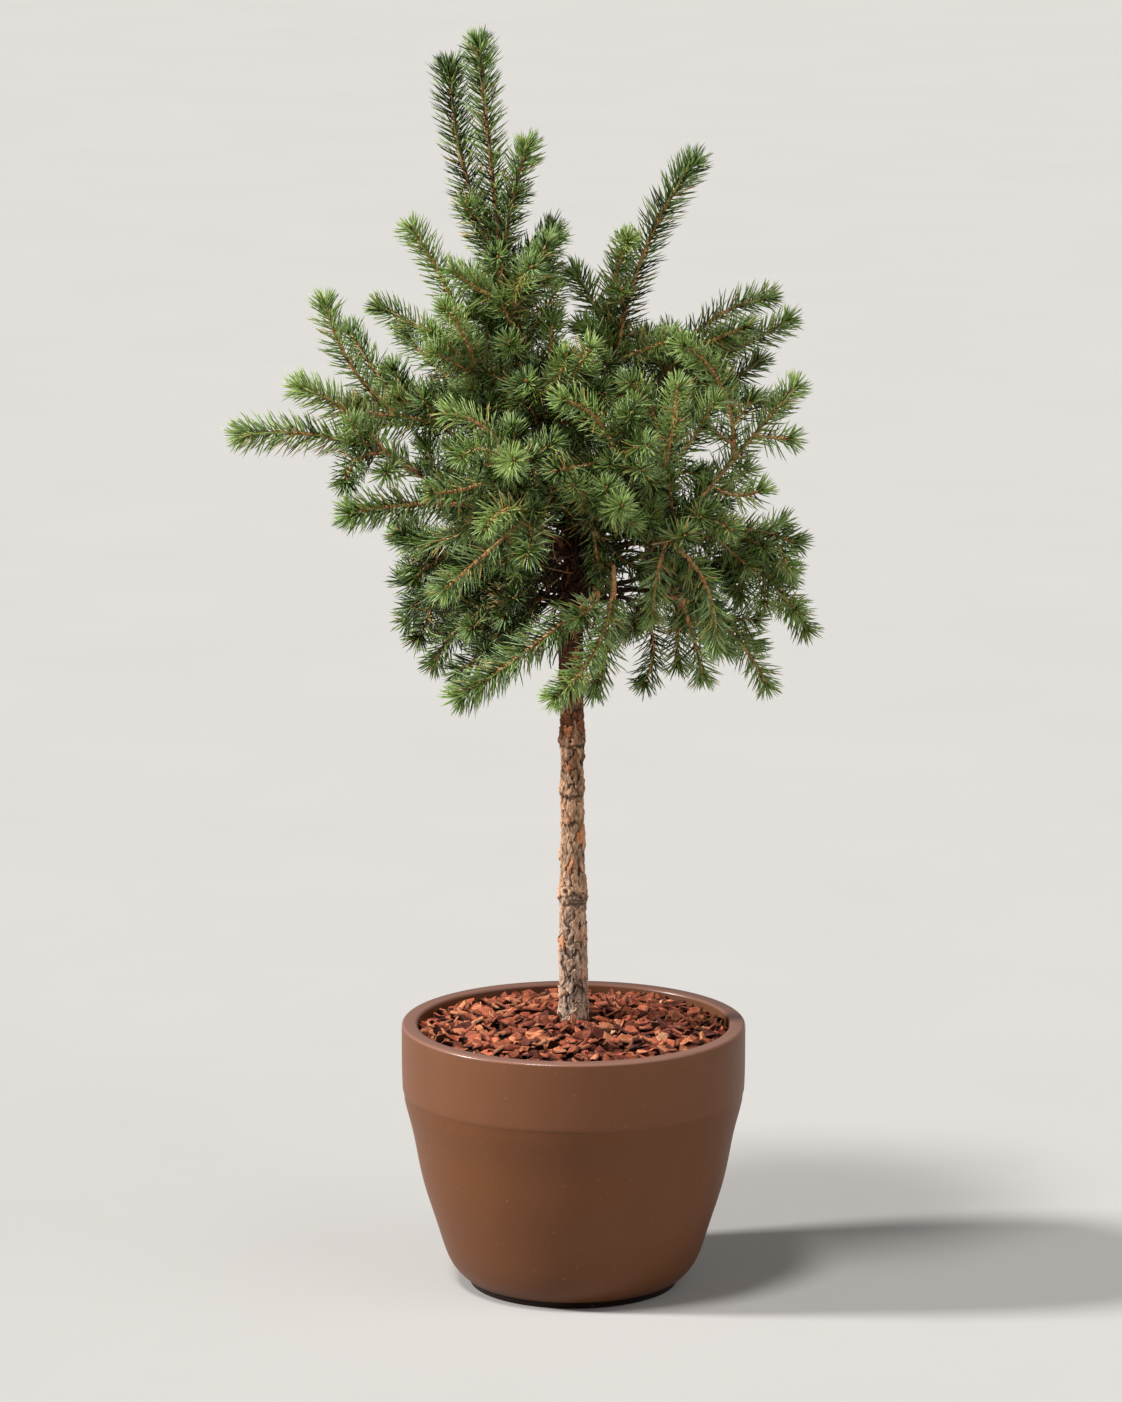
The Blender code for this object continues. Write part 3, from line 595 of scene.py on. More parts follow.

# A heading of 0 points right, 90 away behind the plant, 180 left and 270 to the front.
# Glow sets how fresh the needles are, and also painted light: it is lower on masses that lie in shade.
HEAD = (
    Mass("top", TIP, 0, None, (
        Shoot(189, 84, 0.290, glow=0.15, needle=1.05),
        Shoot(149, 73, 0.269, 30, glow=-0.3, needle=1.15),
        Shoot(118, 45, 0.110, 50),
        Shoot(324, 76, 0.165, -20),
    ), glow=0.38, extra=4, lush=1.35),
    Mass("top_front", LEADER, 1.275, Limb(265, 39, 0.050, 10), (
        Shoot(351, 60, 0.090, 20),
        Shoot(287, 34, 0.100, -20),
        Shoot(193, 30, 0.090, 30),
    ), own_bough=False, glow=0.55, extra=4),
    Mass("centre_high", LEADER, 1.130, Limb(273, 53, 0.080, 15), (
        Shoot(76, 77, 0.095),
        Shoot(298, 32, 0.135, 30),
        Shoot(286, 34, 0.100, 30),
    ), own_bough=False, glow=0.5, extra=9, inner=0.15),
    Mass("upper_left", LEADER, 1.100, Limb(196, 48, 0.150, 25), (
        Shoot(187, 66, 0.210, -20, glow=0.1),
        Shoot(243, 47, 0.135, -30, glow=0.05, needle=0.9),
        Shoot(159, 31, 0.160, -20),
    ), glow=0.5, extra=7),
    Mass("left_high", LEADER, 1.045, Limb(186, 32, 0.200, 20), (
        Shoot(212, 12, 0.060, 10),
        Shoot(187, 58, 0.175, 40, parent=0, glow=0.2),
        Shoot(144, 37, 0.175, 30, -20),
        Shoot(144, 29, 0.095),
        Shoot(216, 15, 0.070, 30, parent=0),
    ), glow=0.5, extra=8, inner=0.25),
    Mass("left_far", TRUNK, 0.985, Limb(202, 27, 0.300, 10), (
        Shoot(183, 8, 0.185, -30, glow=0.15, needle=1.1),
        Shoot(187, 39, 0.140, -40, glow=0.15, needle=1.1),
        Shoot(238, -16, 0.095, -50, 60, glow=-0.3),
    ), glow=0.5, extra=5, inner=0.6, lush=1.35),
    Mass("left_middle", TRUNK, 1.000, Limb(235, 33, 0.190, 15), (
        Shoot(187, 45, 0.115, -80, glow=0.15),
        Shoot(213, -9, 0.115, 30),
        Shoot(274, 15, 0.145, glow=0.1),
        Shoot(232, 18, 0.105, -80),
    ), glow=0.42, extra=8),
    Mass("left_low_arm", TRUNK, 0.965, Limb(222, 30, 0.170, 5), (
        Shoot(210, 3, 0.205, -20, glow=-0.05, needle=1.15),
        Shoot(131, -18, 0.200, 50, glow=-0.2),
    ), glow=0.45, extra=5, inner=0.75, lush=1.6),
    Mass("left_low", TRUNK, 0.945, Limb(167, 13, 0.135, -10), (
        Shoot(186, -25, 0.095, -50),
        Shoot(156, -41, 0.130, 20, -20),
    ), glow=0.15, extra=12, dense=3),
    Mass("front_fan", TRUNK, 0.975, Limb(247, 24, 0.180), (
        Shoot(213, -33, 0.150, needle=1.15),
        Shoot(240, 1, 0.110, -70, glow=0.2),
        Shoot(270, -16, 0.105, 0, -20, needle=1.2),
    ), glow=0.47, extra=7, inner=0.8),
    Mass("low_left", TRUNK, 0.915, Limb(201, 4, 0.085, -15), (
        Shoot(174, -40, 0.140, -50),
        Shoot(209, -47, 0.125, 60),
    ), glow=0.1, extra=12, dense=3),
    Mass("low_front", TRUNK, 0.935, Limb(282, 5, 0.135, -20), (
        Shoot(193, -35, 0.220, 10, needle=1.12),
        Shoot(245, -17, 0.070, 0, -60),
    ), glow=0.4, extra=0, inner=0.9, bare=0.03, lush=1.8),
    Mass("low_centre", TRUNK, 0.955, Limb(291, 11, 0.130, -20), (
        Shoot(241, -45, 0.210, 30, -60),
        Shoot(183, -81, 0.165, 30),
    ), glow=0.42, extra=0, bare=0.045, lush=1.5),
    Mass("right_upper", LEADER, 1.070, Limb(9, 65, 0.170, 25), (
        Shoot(0, 69, 0.276, -28, glow=0.1, needle=1.12),
        Shoot(310, 73, 0.185, -80, -60),
        Shoot(158, 64, 0.125, -20),
        Shoot(317, 20, 0.110, -10),
    ), glow=0.42, extra=11, inner=0.12, lush=1.3),
    Mass("right_high", LEADER, 1.030, Limb(23, 53, 0.220, 25), (
        Shoot(0, 36, 0.170, -50),
        Shoot(333, 29, 0.135, -20, 20),
        Shoot(10, 21, 0.175, 20),
        Shoot(350, 8, 0.135, 80),
    ), glow=0.45, extra=11, inner=0.2, lush=1.1),
    Mass("right_reach", TRUNK, 0.985, Limb(327, 20, 0.180, 10), (
        Shoot(23, 46, 0.210),
        Shoot(222, 59, 0.200, -80, 20, parent=0, share=0.4),
        Shoot(343, -2, 0.050, parent=0, share=0.6),
        Shoot(329, 0, 0.075, 60, parent=0, share=0.2),
    ), glow=0.45, extra=9),
    Mass("right_low_out", TRUNK, 0.955, Limb(3, 14, 0.195), (
        Shoot(354, -8, 0.095, -30),
        Shoot(349, -49, 0.165, -20),
        Shoot(30, -33, 0.125, 40, glow=-0.2),
    ), glow=0.5, extra=10, dense=3),
    Mass("right_star", TRUNK, 0.970, Limb(313, 14, 0.170), (
        Shoot(286, 15, 0.075),
        Shoot(326, -61, 0.160, -80),
        Shoot(190, -79, 0.100, -20),
    ), glow=0.55, extra=3, inner=0.9),
    Mass("front_right", TRUNK, 1.010, Limb(296, 42, 0.165, 10), (
        Shoot(225, 39, 0.135, -50),
        Shoot(229, -2, 0.120, 10, glow=-0.1),
        Shoot(289, 15, 0.110, -10),
        Shoot(286, 49, 0.080, -20, glow=0.1),
    ), glow=0.46, extra=8),
    Mass("right_inner", TRUNK, 1.000, Limb(326, 34, 0.150, 15), (
        Shoot(237, 61, 0.165, -80, glow=0.35),
        Shoot(336, 54, 0.130, 20),
        Shoot(280, 48, 0.185, 30, glow=0.1),
    ), glow=0.47, extra=8),
    Mass("front_star", TRUNK, 0.990, Limb(290, 27, 0.110, 10), (
        Shoot(277, 14, 0.155),
        Shoot(270, 26, 0.120, glow=0.1),
        Shoot(248, 27, 0.120),
    ), glow=0.46, extra=6),
    Mass("low_right", TRUNK, 0.925, Limb(348, -2, 0.140, -15), (
        Shoot(323, -71, 0.105, -10),
        Shoot(10, -46, 0.165, -40),
        Shoot(114, -83, 0.090, -40),
    ), glow=0.5, extra=3, inner=0.9, dense=1),
    Mass("low_middle", TRUNK, 0.905, Limb(25, 0, 0.095, -20), (
        Shoot(328, -82, 0.115, -80, 60),
        Shoot(261, -22, 0.065, 10),
    ), glow=0.45, extra=0),
    Mass("back_top", LEADER, 1.190, Limb(95, 27, 0.100, 20),
         fanned(4, 110, 130, 52, 24, 0.105), own_bough=False, glow=0.4),
    Mass("back_high_left", LEADER, 1.100, Limb(129, 19, 0.175, 15),
         fanned(5, 125, 150, 18, 40, 0.145), glow=0.35, extra=8),
    Mass("back_high_right", LEADER, 1.060, Limb(41, 30, 0.215, 15),
         fanned(5, 60, 150, 12, 36, 0.140), glow=0.35, extra=8),
    Mass("back_middle", TRUNK, 0.990, Limb(89, 16, 0.200, 5),
         fanned(6, 90, 200, 5, 60, 0.150), glow=0.35, extra=9),
    Mass("back_low_left", TRUNK, 0.940, Limb(135, -2, 0.175, -10),
         fanned(5, 115, 150, -16, 40, 0.120), glow=0.15, extra=10, dense=2),
    Mass("back_low_right", TRUNK, 0.930, Limb(43, -2, 0.175, -10),
         fanned(5, 60, 160, -20, 40, 0.140), glow=0.3, extra=8, inner=0.9),
)


Socket = bpy.types.NodeSocket


class Graph:
    """A shader tree, and the moves that the finishes make on it."""

    def __init__(self, tree: bpy.types.NodeTree) -> None:
        """Takes the tree to work on."""
        self.tree = tree

    def give(self, socket: Socket, value: object) -> None:
        """Links an output socket into a socket, or sets its value.

        Args:
            socket: the input socket.
            value: an output socket, a number or a colour.
        """
        if isinstance(value, Socket):
            self.tree.links.new(value, socket)
        else:
            socket.default_value = value

    def add(self, kind: str, inputs: dict | None = None, **settings: object) -> bpy.types.Node:
        """Adds a node.

        Args:
            kind: the node's type name without its ShaderNode prefix.
            inputs: values for its sockets, or output sockets to link into them, by socket name or number.
            settings: values of its own properties.

        Returns:
            The node.
        """
        node = self.tree.nodes.new("ShaderNode" + kind)
        for key, value in settings.items():
            setattr(node, key, value)
        for key, value in (inputs or {}).items():
            self.give(node.inputs[key], value)
        return node

    def mix(self, share: object, first: object, second: object) -> Socket:
        """Blends two colours.

        Args:
            share: how much of the second one shows.
            first: a colour, or a socket that gives one.
            second: the other.

        Returns:
            The blend.
        """
        node = self.add("Mix", data_type="RGBA")
        used = {socket.name: socket for socket in node.inputs if socket.enabled}
        for name, value in (("Factor", share), ("A", first), ("B", second)):
            self.give(used[name], value)
        return next(socket for socket in node.outputs if socket.enabled)

    def math(self, operation: str, first: object, second: object) -> Socket:
        """Works out a sum, difference or quotient of two values."""
        return self.add("Math", {0: first, 1: second}, operation=operation).outputs[0]

    def scaled(self, colour: Socket, factor: Socket) -> Socket:
        """Lightens or darkens a colour by a factor."""
        return self.add("VectorMath", {0: colour, "Scale": factor}, operation="SCALE").outputs[0]

    def ranged(self, value: Socket, low: object, high: object, to_low: float = 0.0,
               to_high: float = 1.0) -> Socket:
        """Maps a value from one range to another, held at its ends."""
        inputs = {"Value": value, "From Min": low, "From Max": high, "To Min": to_low, "To Max": to_high}
        return self.add("MapRange", inputs).outputs["Result"]

    def mark(self, name: str) -> Socket:
        """Reads one of the values that the mesh carries at its corners."""
        return self.add("Attribute", attribute_name=name).outputs["Fac"]

    def height(self) -> Socket:
        """Reads the height above the ground."""
        return self.add("SeparateXYZ", {0: self.add("TexCoord").outputs["Object"]}).outputs["Z"]

    def cloud(self, size: Socket, stretch: Socket, detail: float, roughness: float) -> Socket:
        """Soft noise on the object's own coordinates.

        Args:
            size: how large its spots are.
            stretch: how many times as tall as wide.
            detail: how many finer layers it has.
            roughness: how strong they are.

        Returns:
            The noise, 0 to 1.
        """
        spot = self.add("TexCoord").outputs["Object"]
        scale = self.math("DIVIDE", 1.0, size)
        squeeze = self.add("CombineXYZ", {"X": 1.0, "Y": 1.0, "Z": self.math("DIVIDE", 1.0, stretch)})
        spot = self.add("VectorMath", {0: spot, 1: squeeze.outputs[0]}, operation="MULTIPLY").outputs[0]
        inputs = {"Vector": spot, "Scale": scale, "Detail": detail, "Roughness": roughness}
        return self.add("TexNoise", inputs).outputs[0]


def new_group(name: str, inputs: dict[str, object], outputs: dict[str, str]) -> bpy.types.NodeTree:
    """An empty shader group.

    Args:
        name: its name.
        inputs: the usual value of each input; a colour is a tuple.
        outputs: for each output its kind.

    Returns:
        The group's tree.
    """
    tree = bpy.data.node_groups.new(name, "ShaderNodeTree")
    for label, value in inputs.items():
        kind = "NodeSocketColor" if isinstance(value, tuple) else "NodeSocketFloat"
        tree.interface.new_socket(label, in_out="INPUT", socket_type=kind).default_value = value
    for label, kind in outputs.items():
        tree.interface.new_socket(label, in_out="OUTPUT", socket_type="NodeSocket" + kind)
    return tree


BLACK = (0.0, 0.0, 0.0, 1.0)
WHITE = (1.0, 1.0, 1.0, 1.0)


def mottle_group() -> bpy.types.NodeTree:
    """Two shades in soft patches of a given size, stretched along the height.

    Returns:
        A group with the outputs Colour and Mask.
    """
    usual = {"Dark": BLACK, "Light": WHITE, "Size": 0.02, "Stretch": 1.0, "Edge": 0.2}
    tree = new_group("mottle", usual, {"Colour": "Color", "Mask": "Float"})
    graph = Graph(tree)
    given = tree.nodes.new("NodeGroupInput").outputs
    cloud = graph.cloud(given["Size"], given["Stretch"], 4.0, 0.6)
    low = graph.math("SUBTRACT", 0.5, given["Edge"])
    high = graph.math("ADD", 0.5, given["Edge"])
    mask = graph.ranged(cloud, low, high)
    end = tree.nodes.new("NodeGroupOutput").inputs
    graph.give(end["Colour"], graph.mix(mask, given["Dark"], given["Light"]))
    graph.give(end["Mask"], mask)
    return tree


def grain_group() -> bpy.types.NodeTree:
    """Fine relief: noise of a given size, stretched along the height, as a normal.

    Returns:
        A group with the output Normal.
    """
    tree = new_group("grain", {"Size": 0.003, "Stretch": 1.0, "Depth": 0.0005}, {"Normal": "Vector"})
    graph = Graph(tree)
    given = tree.nodes.new("NodeGroupInput").outputs
    cloud = graph.cloud(given["Size"], given["Stretch"], 5.0, 0.65)
    bump = graph.add("Bump", {"Height": cloud, "Distance": given["Depth"], "Strength": 1.0})
    graph.give(tree.nodes.new("NodeGroupOutput").inputs["Normal"], bump.outputs["Normal"])
    return tree


MOTTLE = mottle_group()
GRAIN = grain_group()


def shade_of(colour: str, factor: float = 1.0) -> tuple[float, float, float, float]:
    """A colour as a shader socket takes it, lightened or darkened by a factor."""
    return (*(min(1.0, part * factor) for part in linear(colour)), 1.0)


class Dressing:
    """A material with its principled shader, and calls that lay the shared effects on it."""

    def __init__(self, name: str, roughness: float, specular: float = 0.5) -> None:
        """Starts a material.

        Args:
            name: the finish's name.
            roughness: how dull it is.
            specular: how strongly it reflects, 0.5 for most dry things.
        """
        self.material = bpy.data.materials.new(name)
        self.material.use_nodes = True
        self.graph = Graph(self.material.node_tree)
        self.inputs = self.material.node_tree.nodes["Principled BSDF"].inputs
        self.inputs["Roughness"].default_value = roughness
        self.inputs["Specular IOR Level"].default_value = specular

    def mottle(self, dark: tuple, light: tuple, size: float, stretch: float = 1.0,
               edge: float = 0.2) -> bpy.types.NodeOutputs:
        """Places the patch group with its own values, and returns its outputs."""
        inputs = {"Dark": dark, "Light": light, "Size": size, "Stretch": stretch, "Edge": edge}
        return self.graph.add("Group", inputs, node_tree=MOTTLE).outputs

    def mottled(self, colour: str, dark: float, light: float, size: float, stretch: float = 1.0,
                edge: float = 0.2) -> bpy.types.NodeOutputs:
        """Places the patch group with a darker and a lighter shade of one colour."""
        return self.mottle(shade_of(colour, dark), shade_of(colour, light), size, stretch, edge)

    def grain(self, size: float, depth: float, stretch: float = 1.0) -> None:
        """Lays the relief group on the shader's normal.

        Args:
            size: how large its bumps are.
            depth: how deep.
            stretch: how many times as tall as wide.
        """
        inputs = {"Size": size, "Depth": depth, "Stretch": stretch}
        node = self.graph.add("Group", inputs, node_tree=GRAIN)
        self.graph.give(self.inputs["Normal"], node.outputs["Normal"])

    def colour(self, value: Socket) -> None:
        """Gives the shader its base colour."""
        self.graph.give(self.inputs["Base Color"], value)

    def vary(self, name: str, mask: Socket, low: float, high: float) -> None:
        """Varies one of the shader's values by a mask."""
        self.graph.give(self.inputs[name], self.graph.ranged(mask, 0.0, 1.0, low, high))


@dataclass(frozen=True)
class NeedleFinish:
    """Waxy green of one tint, a little cloudy from needle to needle."""

    tint: Tint
    cloud_size: float = 0.010

    def make(self) -> bpy.types.Material:
        """Builds the material.

        Returns:
            The finish of the needles of one tint.
        """
        dressing = Dressing("needles_" + self.tint.name.lower(), 0.4)
        patches = dressing.mottled(self.tint.value, 0.64, 1.3, self.cloud_size)
        dressing.colour(patches["Colour"])
        dressing.vary("Roughness", patches["Mask"], 0.30, 0.42)
        return dressing.material


@dataclass(frozen=True)
class TwigFinish:
    """Thin skin of a twig of one age, with the dark feet of its needles."""

    wood: Wood
    foot_spacing: float = 0.005

    def make(self) -> bpy.types.Material:
        """Builds the material.

        Returns:
            The finish of the twigs of one age.
        """
        dressing = Dressing("twig_" + self.wood.name.lower(), 0.7, 0.35)
        patches = dressing.mottled(self.wood.value, 0.6, 1.2, self.foot_spacing, edge=0.12)
        dressing.colour(patches["Colour"])
        dressing.grain(0.0022, 0.0008)
        return dressing.material


@dataclass(frozen=True)
class BarkFinish:
    """Scaly bark whose plates change shade with height, with a few bright young plates and dark cracks."""

    name: str
    low: str
    middle: str
    high: str
    young: str
    crack: str
    climb: tuple[float, float, float, float]
    plate_jitter: float = 0.16
    young_from: float = 0.90
    young_full: float = 0.96
    level_jitter: float = 0.26
    # Lightness of the deepest and the most raised places: painted shade and painted light.
    deep_painted_shade: float = 0.30
    raised_painted_light: float = 1.74

    def make(self) -> bpy.types.Material:
        """Builds the material.

        A plate's shade follows its height, moved up or down by its own tone: low up to the first of the
        climb's heights, middle between the second and the third, high above the fourth. Deep places are
        darkened as painted shade and raised ones lightened as painted light.

        Returns:
            The finish of a stem or a limb.
        """
        dressing = Dressing(self.name, 0.86, 0.25)
        graph = dressing.graph
        cloud = dressing.mottle(BLACK, WHITE, 0.004, 2.2, 0.15)["Mask"]
        tone = graph.mark("tone")
        height = graph.height()
        jitter = graph.ranged(tone, 0.0, 1.0, -self.plate_jitter / 2, self.plate_jitter / 2)
        height = graph.math("ADD", height, jitter)
        shade = graph.mix(graph.ranged(height, *self.climb[:2]), shade_of(self.low), shade_of(self.middle))
        shade = graph.mix(graph.ranged(height, *self.climb[2:]), shade, shade_of(self.high))
        young = graph.ranged(tone, self.young_from, self.young_full)
        shade = graph.mix(young, shade, shade_of(self.young))
        level = graph.mark("level")
        shift = graph.ranged(cloud, 0.0, 1.0, -self.level_jitter, self.level_jitter)
        level = graph.math("ADD", level, shift)
        # Painted shade in the deep places and painted light on the raised plates.
        light = graph.ranged(level, 0.1, 0.9, self.deep_painted_shade, self.raised_painted_light)
        plates = graph.scaled(shade, light)
        crack = graph.ranged(graph.mark("crack"), 0.25, 0.9, 0.0, 0.9)
        dressing.colour(graph.mix(crack, plates, shade_of(self.crack)))
        dressing.vary("Roughness", cloud, 0.78, 0.92)
        dressing.grain(0.0022, 0.0014, 2.5)
        return dressing.material


@dataclass(frozen=True)
class ChipFinish:
    """Dry bark chip of one shade, with a fine grain, a painted highlight along its upper edge and painted
    shade on its underside.
    """

    name: str
    shade: str
    tone_range: tuple[float, float] = (0.62, 1.38)
    # From painted shade on the underside to a painted highlight on the upper edge.
    painted_edge_light_range: tuple[float, float] = (0.16, 1.4)

    def make(self) -> bpy.types.Material:
        """Builds the material.

        The chips' own marks scale the mottled shade: each chip's tone, and painted light, which falls from
        a painted highlight at the upper edge to painted shade on the underside.

        Returns:
            The finish of the chips of one shade.
        """
        dressing = Dressing(self.name, 0.75, 0.3)
        graph = dressing.graph
        colour = dressing.mottled(self.shade, 0.72, 1.2, 0.005)["Colour"]
        # Tone varies at random from chip to chip; the other mark is painted highlight and painted shade.
        for mark, (low, high) in (("tone", self.tone_range), ("painted_edge_light", self.painted_edge_light_range)):
            colour = graph.scaled(colour, graph.ranged(graph.mark(mark), 0.0, 1.0, low, high))
        dressing.colour(colour)
        dressing.grain(0.0025, 0.0010)
        return dressing.material


@dataclass(frozen=True)
class PotFinish:
    """Satin brown coating, a touch greyer on the band, faintly streaked, with small light scuffs and a
    glossier lip. The lip's paler colour is a painted reflection, the body is darkened towards the
    bottom as painted shade, and the foot ring is near-black as painted shade in its recess. Each
    colour change eases in over a short rise."""

    body: str = "683f24"
    band: str = "6e452d"
    # The lip's paler colour is a painted reflection of the bright room.
    lip: str = "8f6656"
    # Near-black foot ring: painted shade in the recess under the pot.
    foot: str = "1c100a"
    scuff: str = "a98269"
    band_height: float = 0.2605
    lip_height: float = 0.3488
    foot_height: float = 0.0092
    # Darkening of the body towards the bottom: painted shade.
    foot_painted_shade: tuple[float, float] = (0.82, 1.0)
    sharp: float = 0.0006
    eased: float = 0.0012
    lip_coat: float = 0.6
    lip_roughness: float = 0.22

    def make(self) -> bpy.types.Material:
        """Builds the material.

        Returns:
            The finish of the planter.
        """
        dressing = Dressing("satin_brown", 0.5, 0.2)
        graph = dressing.graph
        body = dressing.mottled(self.body, 0.9, 1.08, 0.11, 3.0, 0.3)["Colour"]
        band = dressing.mottled(self.band, 0.92, 1.07, 0.09, 2.0, 0.3)["Colour"]
        height = graph.height()
        above = graph.ranged(height, self.band_height - self.sharp, self.band_height + self.sharp)
        coat = graph.mix(above, body, band)
        # Painted shade: the coat darkens towards the bottom of the body.
        coat = graph.scaled(coat, graph.ranged(height, 0.02, 0.10, *self.foot_painted_shade))
        lip = graph.ranged(height, self.lip_height - self.eased, self.lip_height + self.eased)
        # Painted reflection: the lip takes the paler colour.
        coat = graph.mix(lip, coat, shade_of(self.lip))
        # Painted shade: the foot ring in its recess turns near-black.
        foot = graph.ranged(height, self.foot_height + self.sharp, self.foot_height - self.sharp)
        coat = graph.mix(foot, coat, shade_of(self.foot))
        specks = dressing.mottle(BLACK, WHITE, 0.006)["Mask"]
        scuffed = graph.ranged(specks, 0.93, 0.99, 0.0, 0.2)
        dressing.colour(graph.mix(scuffed, coat, shade_of(self.scuff)))
        dressing.vary("Roughness", lip, 0.46, self.lip_roughness)
        dressing.inputs["Coat Roughness"].default_value = self.lip_roughness
        dressing.vary("Coat Weight", lip, 0.0, self.lip_coat)
        dressing.grain(0.004, 0.00022)
        return dressing.material


@dataclass(frozen=True)
class PlainFinish:
    """Dull matter with a cloudy tone, such as soil or the studio floor."""

    name: str
    shade: str
    spread: float
    size: float
    depth: float

    def make(self) -> bpy.types.Material:
        """Builds the material.

        Returns:
            The finish of the matter.
        """
        dressing = Dressing(self.name, 0.9, 0.2)
        patches = dressing.mottled(self.shade, 1 - self.spread, 1 + self.spread, self.size)
        dressing.colour(patches["Colour"])
        dressing.grain(self.size / 3, self.depth)
        return dressing.material


@dataclass
class Planter:
    """The round planter: a rounded lip, a plain band with a small step under it, a bowl-like body and a
    recessed foot. Band and body give places on the outer wall as height and radius, from the top down.
    The body's curve is also taken at the foot heights, where it turns in fast."""

    height: float = 0.351
    rim_radius: float = 0.2255
    lip_width: float = 0.021
    lip_round: float = 0.004
    band_foot: float = 0.261
    foot_radius: float = 0.1366
    floor: float = 0.014
    floor_radius: float = 0.1452
    sides: int = 160
    wall_heights: int = 14
    body_heights: int = 24
    curve_degree: int = 6
    band: tuple[tuple[float, float], ...] = (
        (0.325, 0.2255), (0.300, 0.2255), (0.283, 0.2252), (0.266, 0.2246), (0.2625, 0.2243),
        (0.2612, 0.2238), (0.2604, 0.2234),
    )
    body: tuple[tuple[float, float], ...] = (
        (0.2588, 0.2233), (0.246, 0.2208), (0.215, 0.2140), (0.160, 0.2022), (0.105, 0.1880),
        (0.070, 0.1768), (0.042, 0.1665), (0.026, 0.1585), (0.014, 0.1500), (0.0095, 0.1400),
    )
    even_down_to: float = 0.03
    foot_heights: tuple[float, ...] = (0.022, 0.016, 0.012, 0.0095)
    foot_top: float = 0.008
    foot_round: float = 0.0008

    def inner_radius(self, height: float | Array) -> Array:
        """Radius of the inner wall: straight from the floor to the band, and from there to the lip.

        Args:
            height: one height or several.

        Returns:
            The radius at each of them.
        """
        lip = self.rim_radius - self.lip_width
        radii = (self.floor_radius, lip - self.lip_round, lip)
        return np.interp(height, (self.floor, self.band_foot, self.height), radii)

    def profile(self) -> Array:
        """Points of the wall's section, from the middle of the inner floor over the lip to the middle of
        the underside.

        Each edge of the lip is a quarter circle. The body's sparse radii are joined by a smooth curve,
        and the step under the band is rounded over two short chords.

        Returns:
            Rows of radius and height.
        """
        crest = self.height - self.lip_round
        inner_heights = np.linspace(self.floor, crest, self.wall_heights)
        inner = np.stack([self.inner_radius(inner_heights), inner_heights], 1)
        arc = np.radians(np.linspace(0, 90, 7))
        across, up = self.lip_round * np.cos(arc), self.lip_round * np.sin(arc)
        lip_inner = self.rim_radius - self.lip_width + self.lip_round
        rise_in = np.stack([lip_inner - across, crest + up], 1)
        fall_out = np.stack([self.rim_radius - self.lip_round + up, crest + across], 1)
        band = np.array(self.band)[:, ::-1]
        known = np.array(self.body)[::-1]
        curve = np.polynomial.Polynomial.fit(known[:, 0], known[:, 1], self.curve_degree)
        evenly = np.linspace(known[-1, 0], self.even_down_to, self.body_heights)
        heights = np.concatenate([evenly, self.foot_heights])
        body = np.stack([curve(heights), heights], 1)
        foot = np.array([
            (self.foot_radius + 0.001, self.foot_top + self.foot_round), (self.foot_radius, self.foot_top),
            (self.foot_radius, self.foot_round), (self.foot_radius - self.foot_round, 0.0),
        ])
        return np.concatenate([inner[:-1], rise_in, fall_out, band, body, foot])

    def build(self) -> None:
        """Turns the section about the Z axis, and closes it at the inner floor and the underside."""
        section = self.profile()
        angles = 2 * math.pi * np.arange(self.sides) / self.sides
        ring = np.stack([np.cos(angles), np.sin(angles)], 1)
        levels = np.broadcast_to(section[:, 1:, None], (len(section), self.sides, 1))
        rings = np.concatenate([section[:, :1, None] * ring, levels], 2)
        places = np.concatenate([rings.reshape(-1, 3), [(0, 0, self.floor), (0, 0, 0)]])
        corners = tube_corners(len(section), self.sides)[:, ::-1]
        make_piece("planter", Patch(places, corners), PotFinish().make(), "pot", ["pot"])


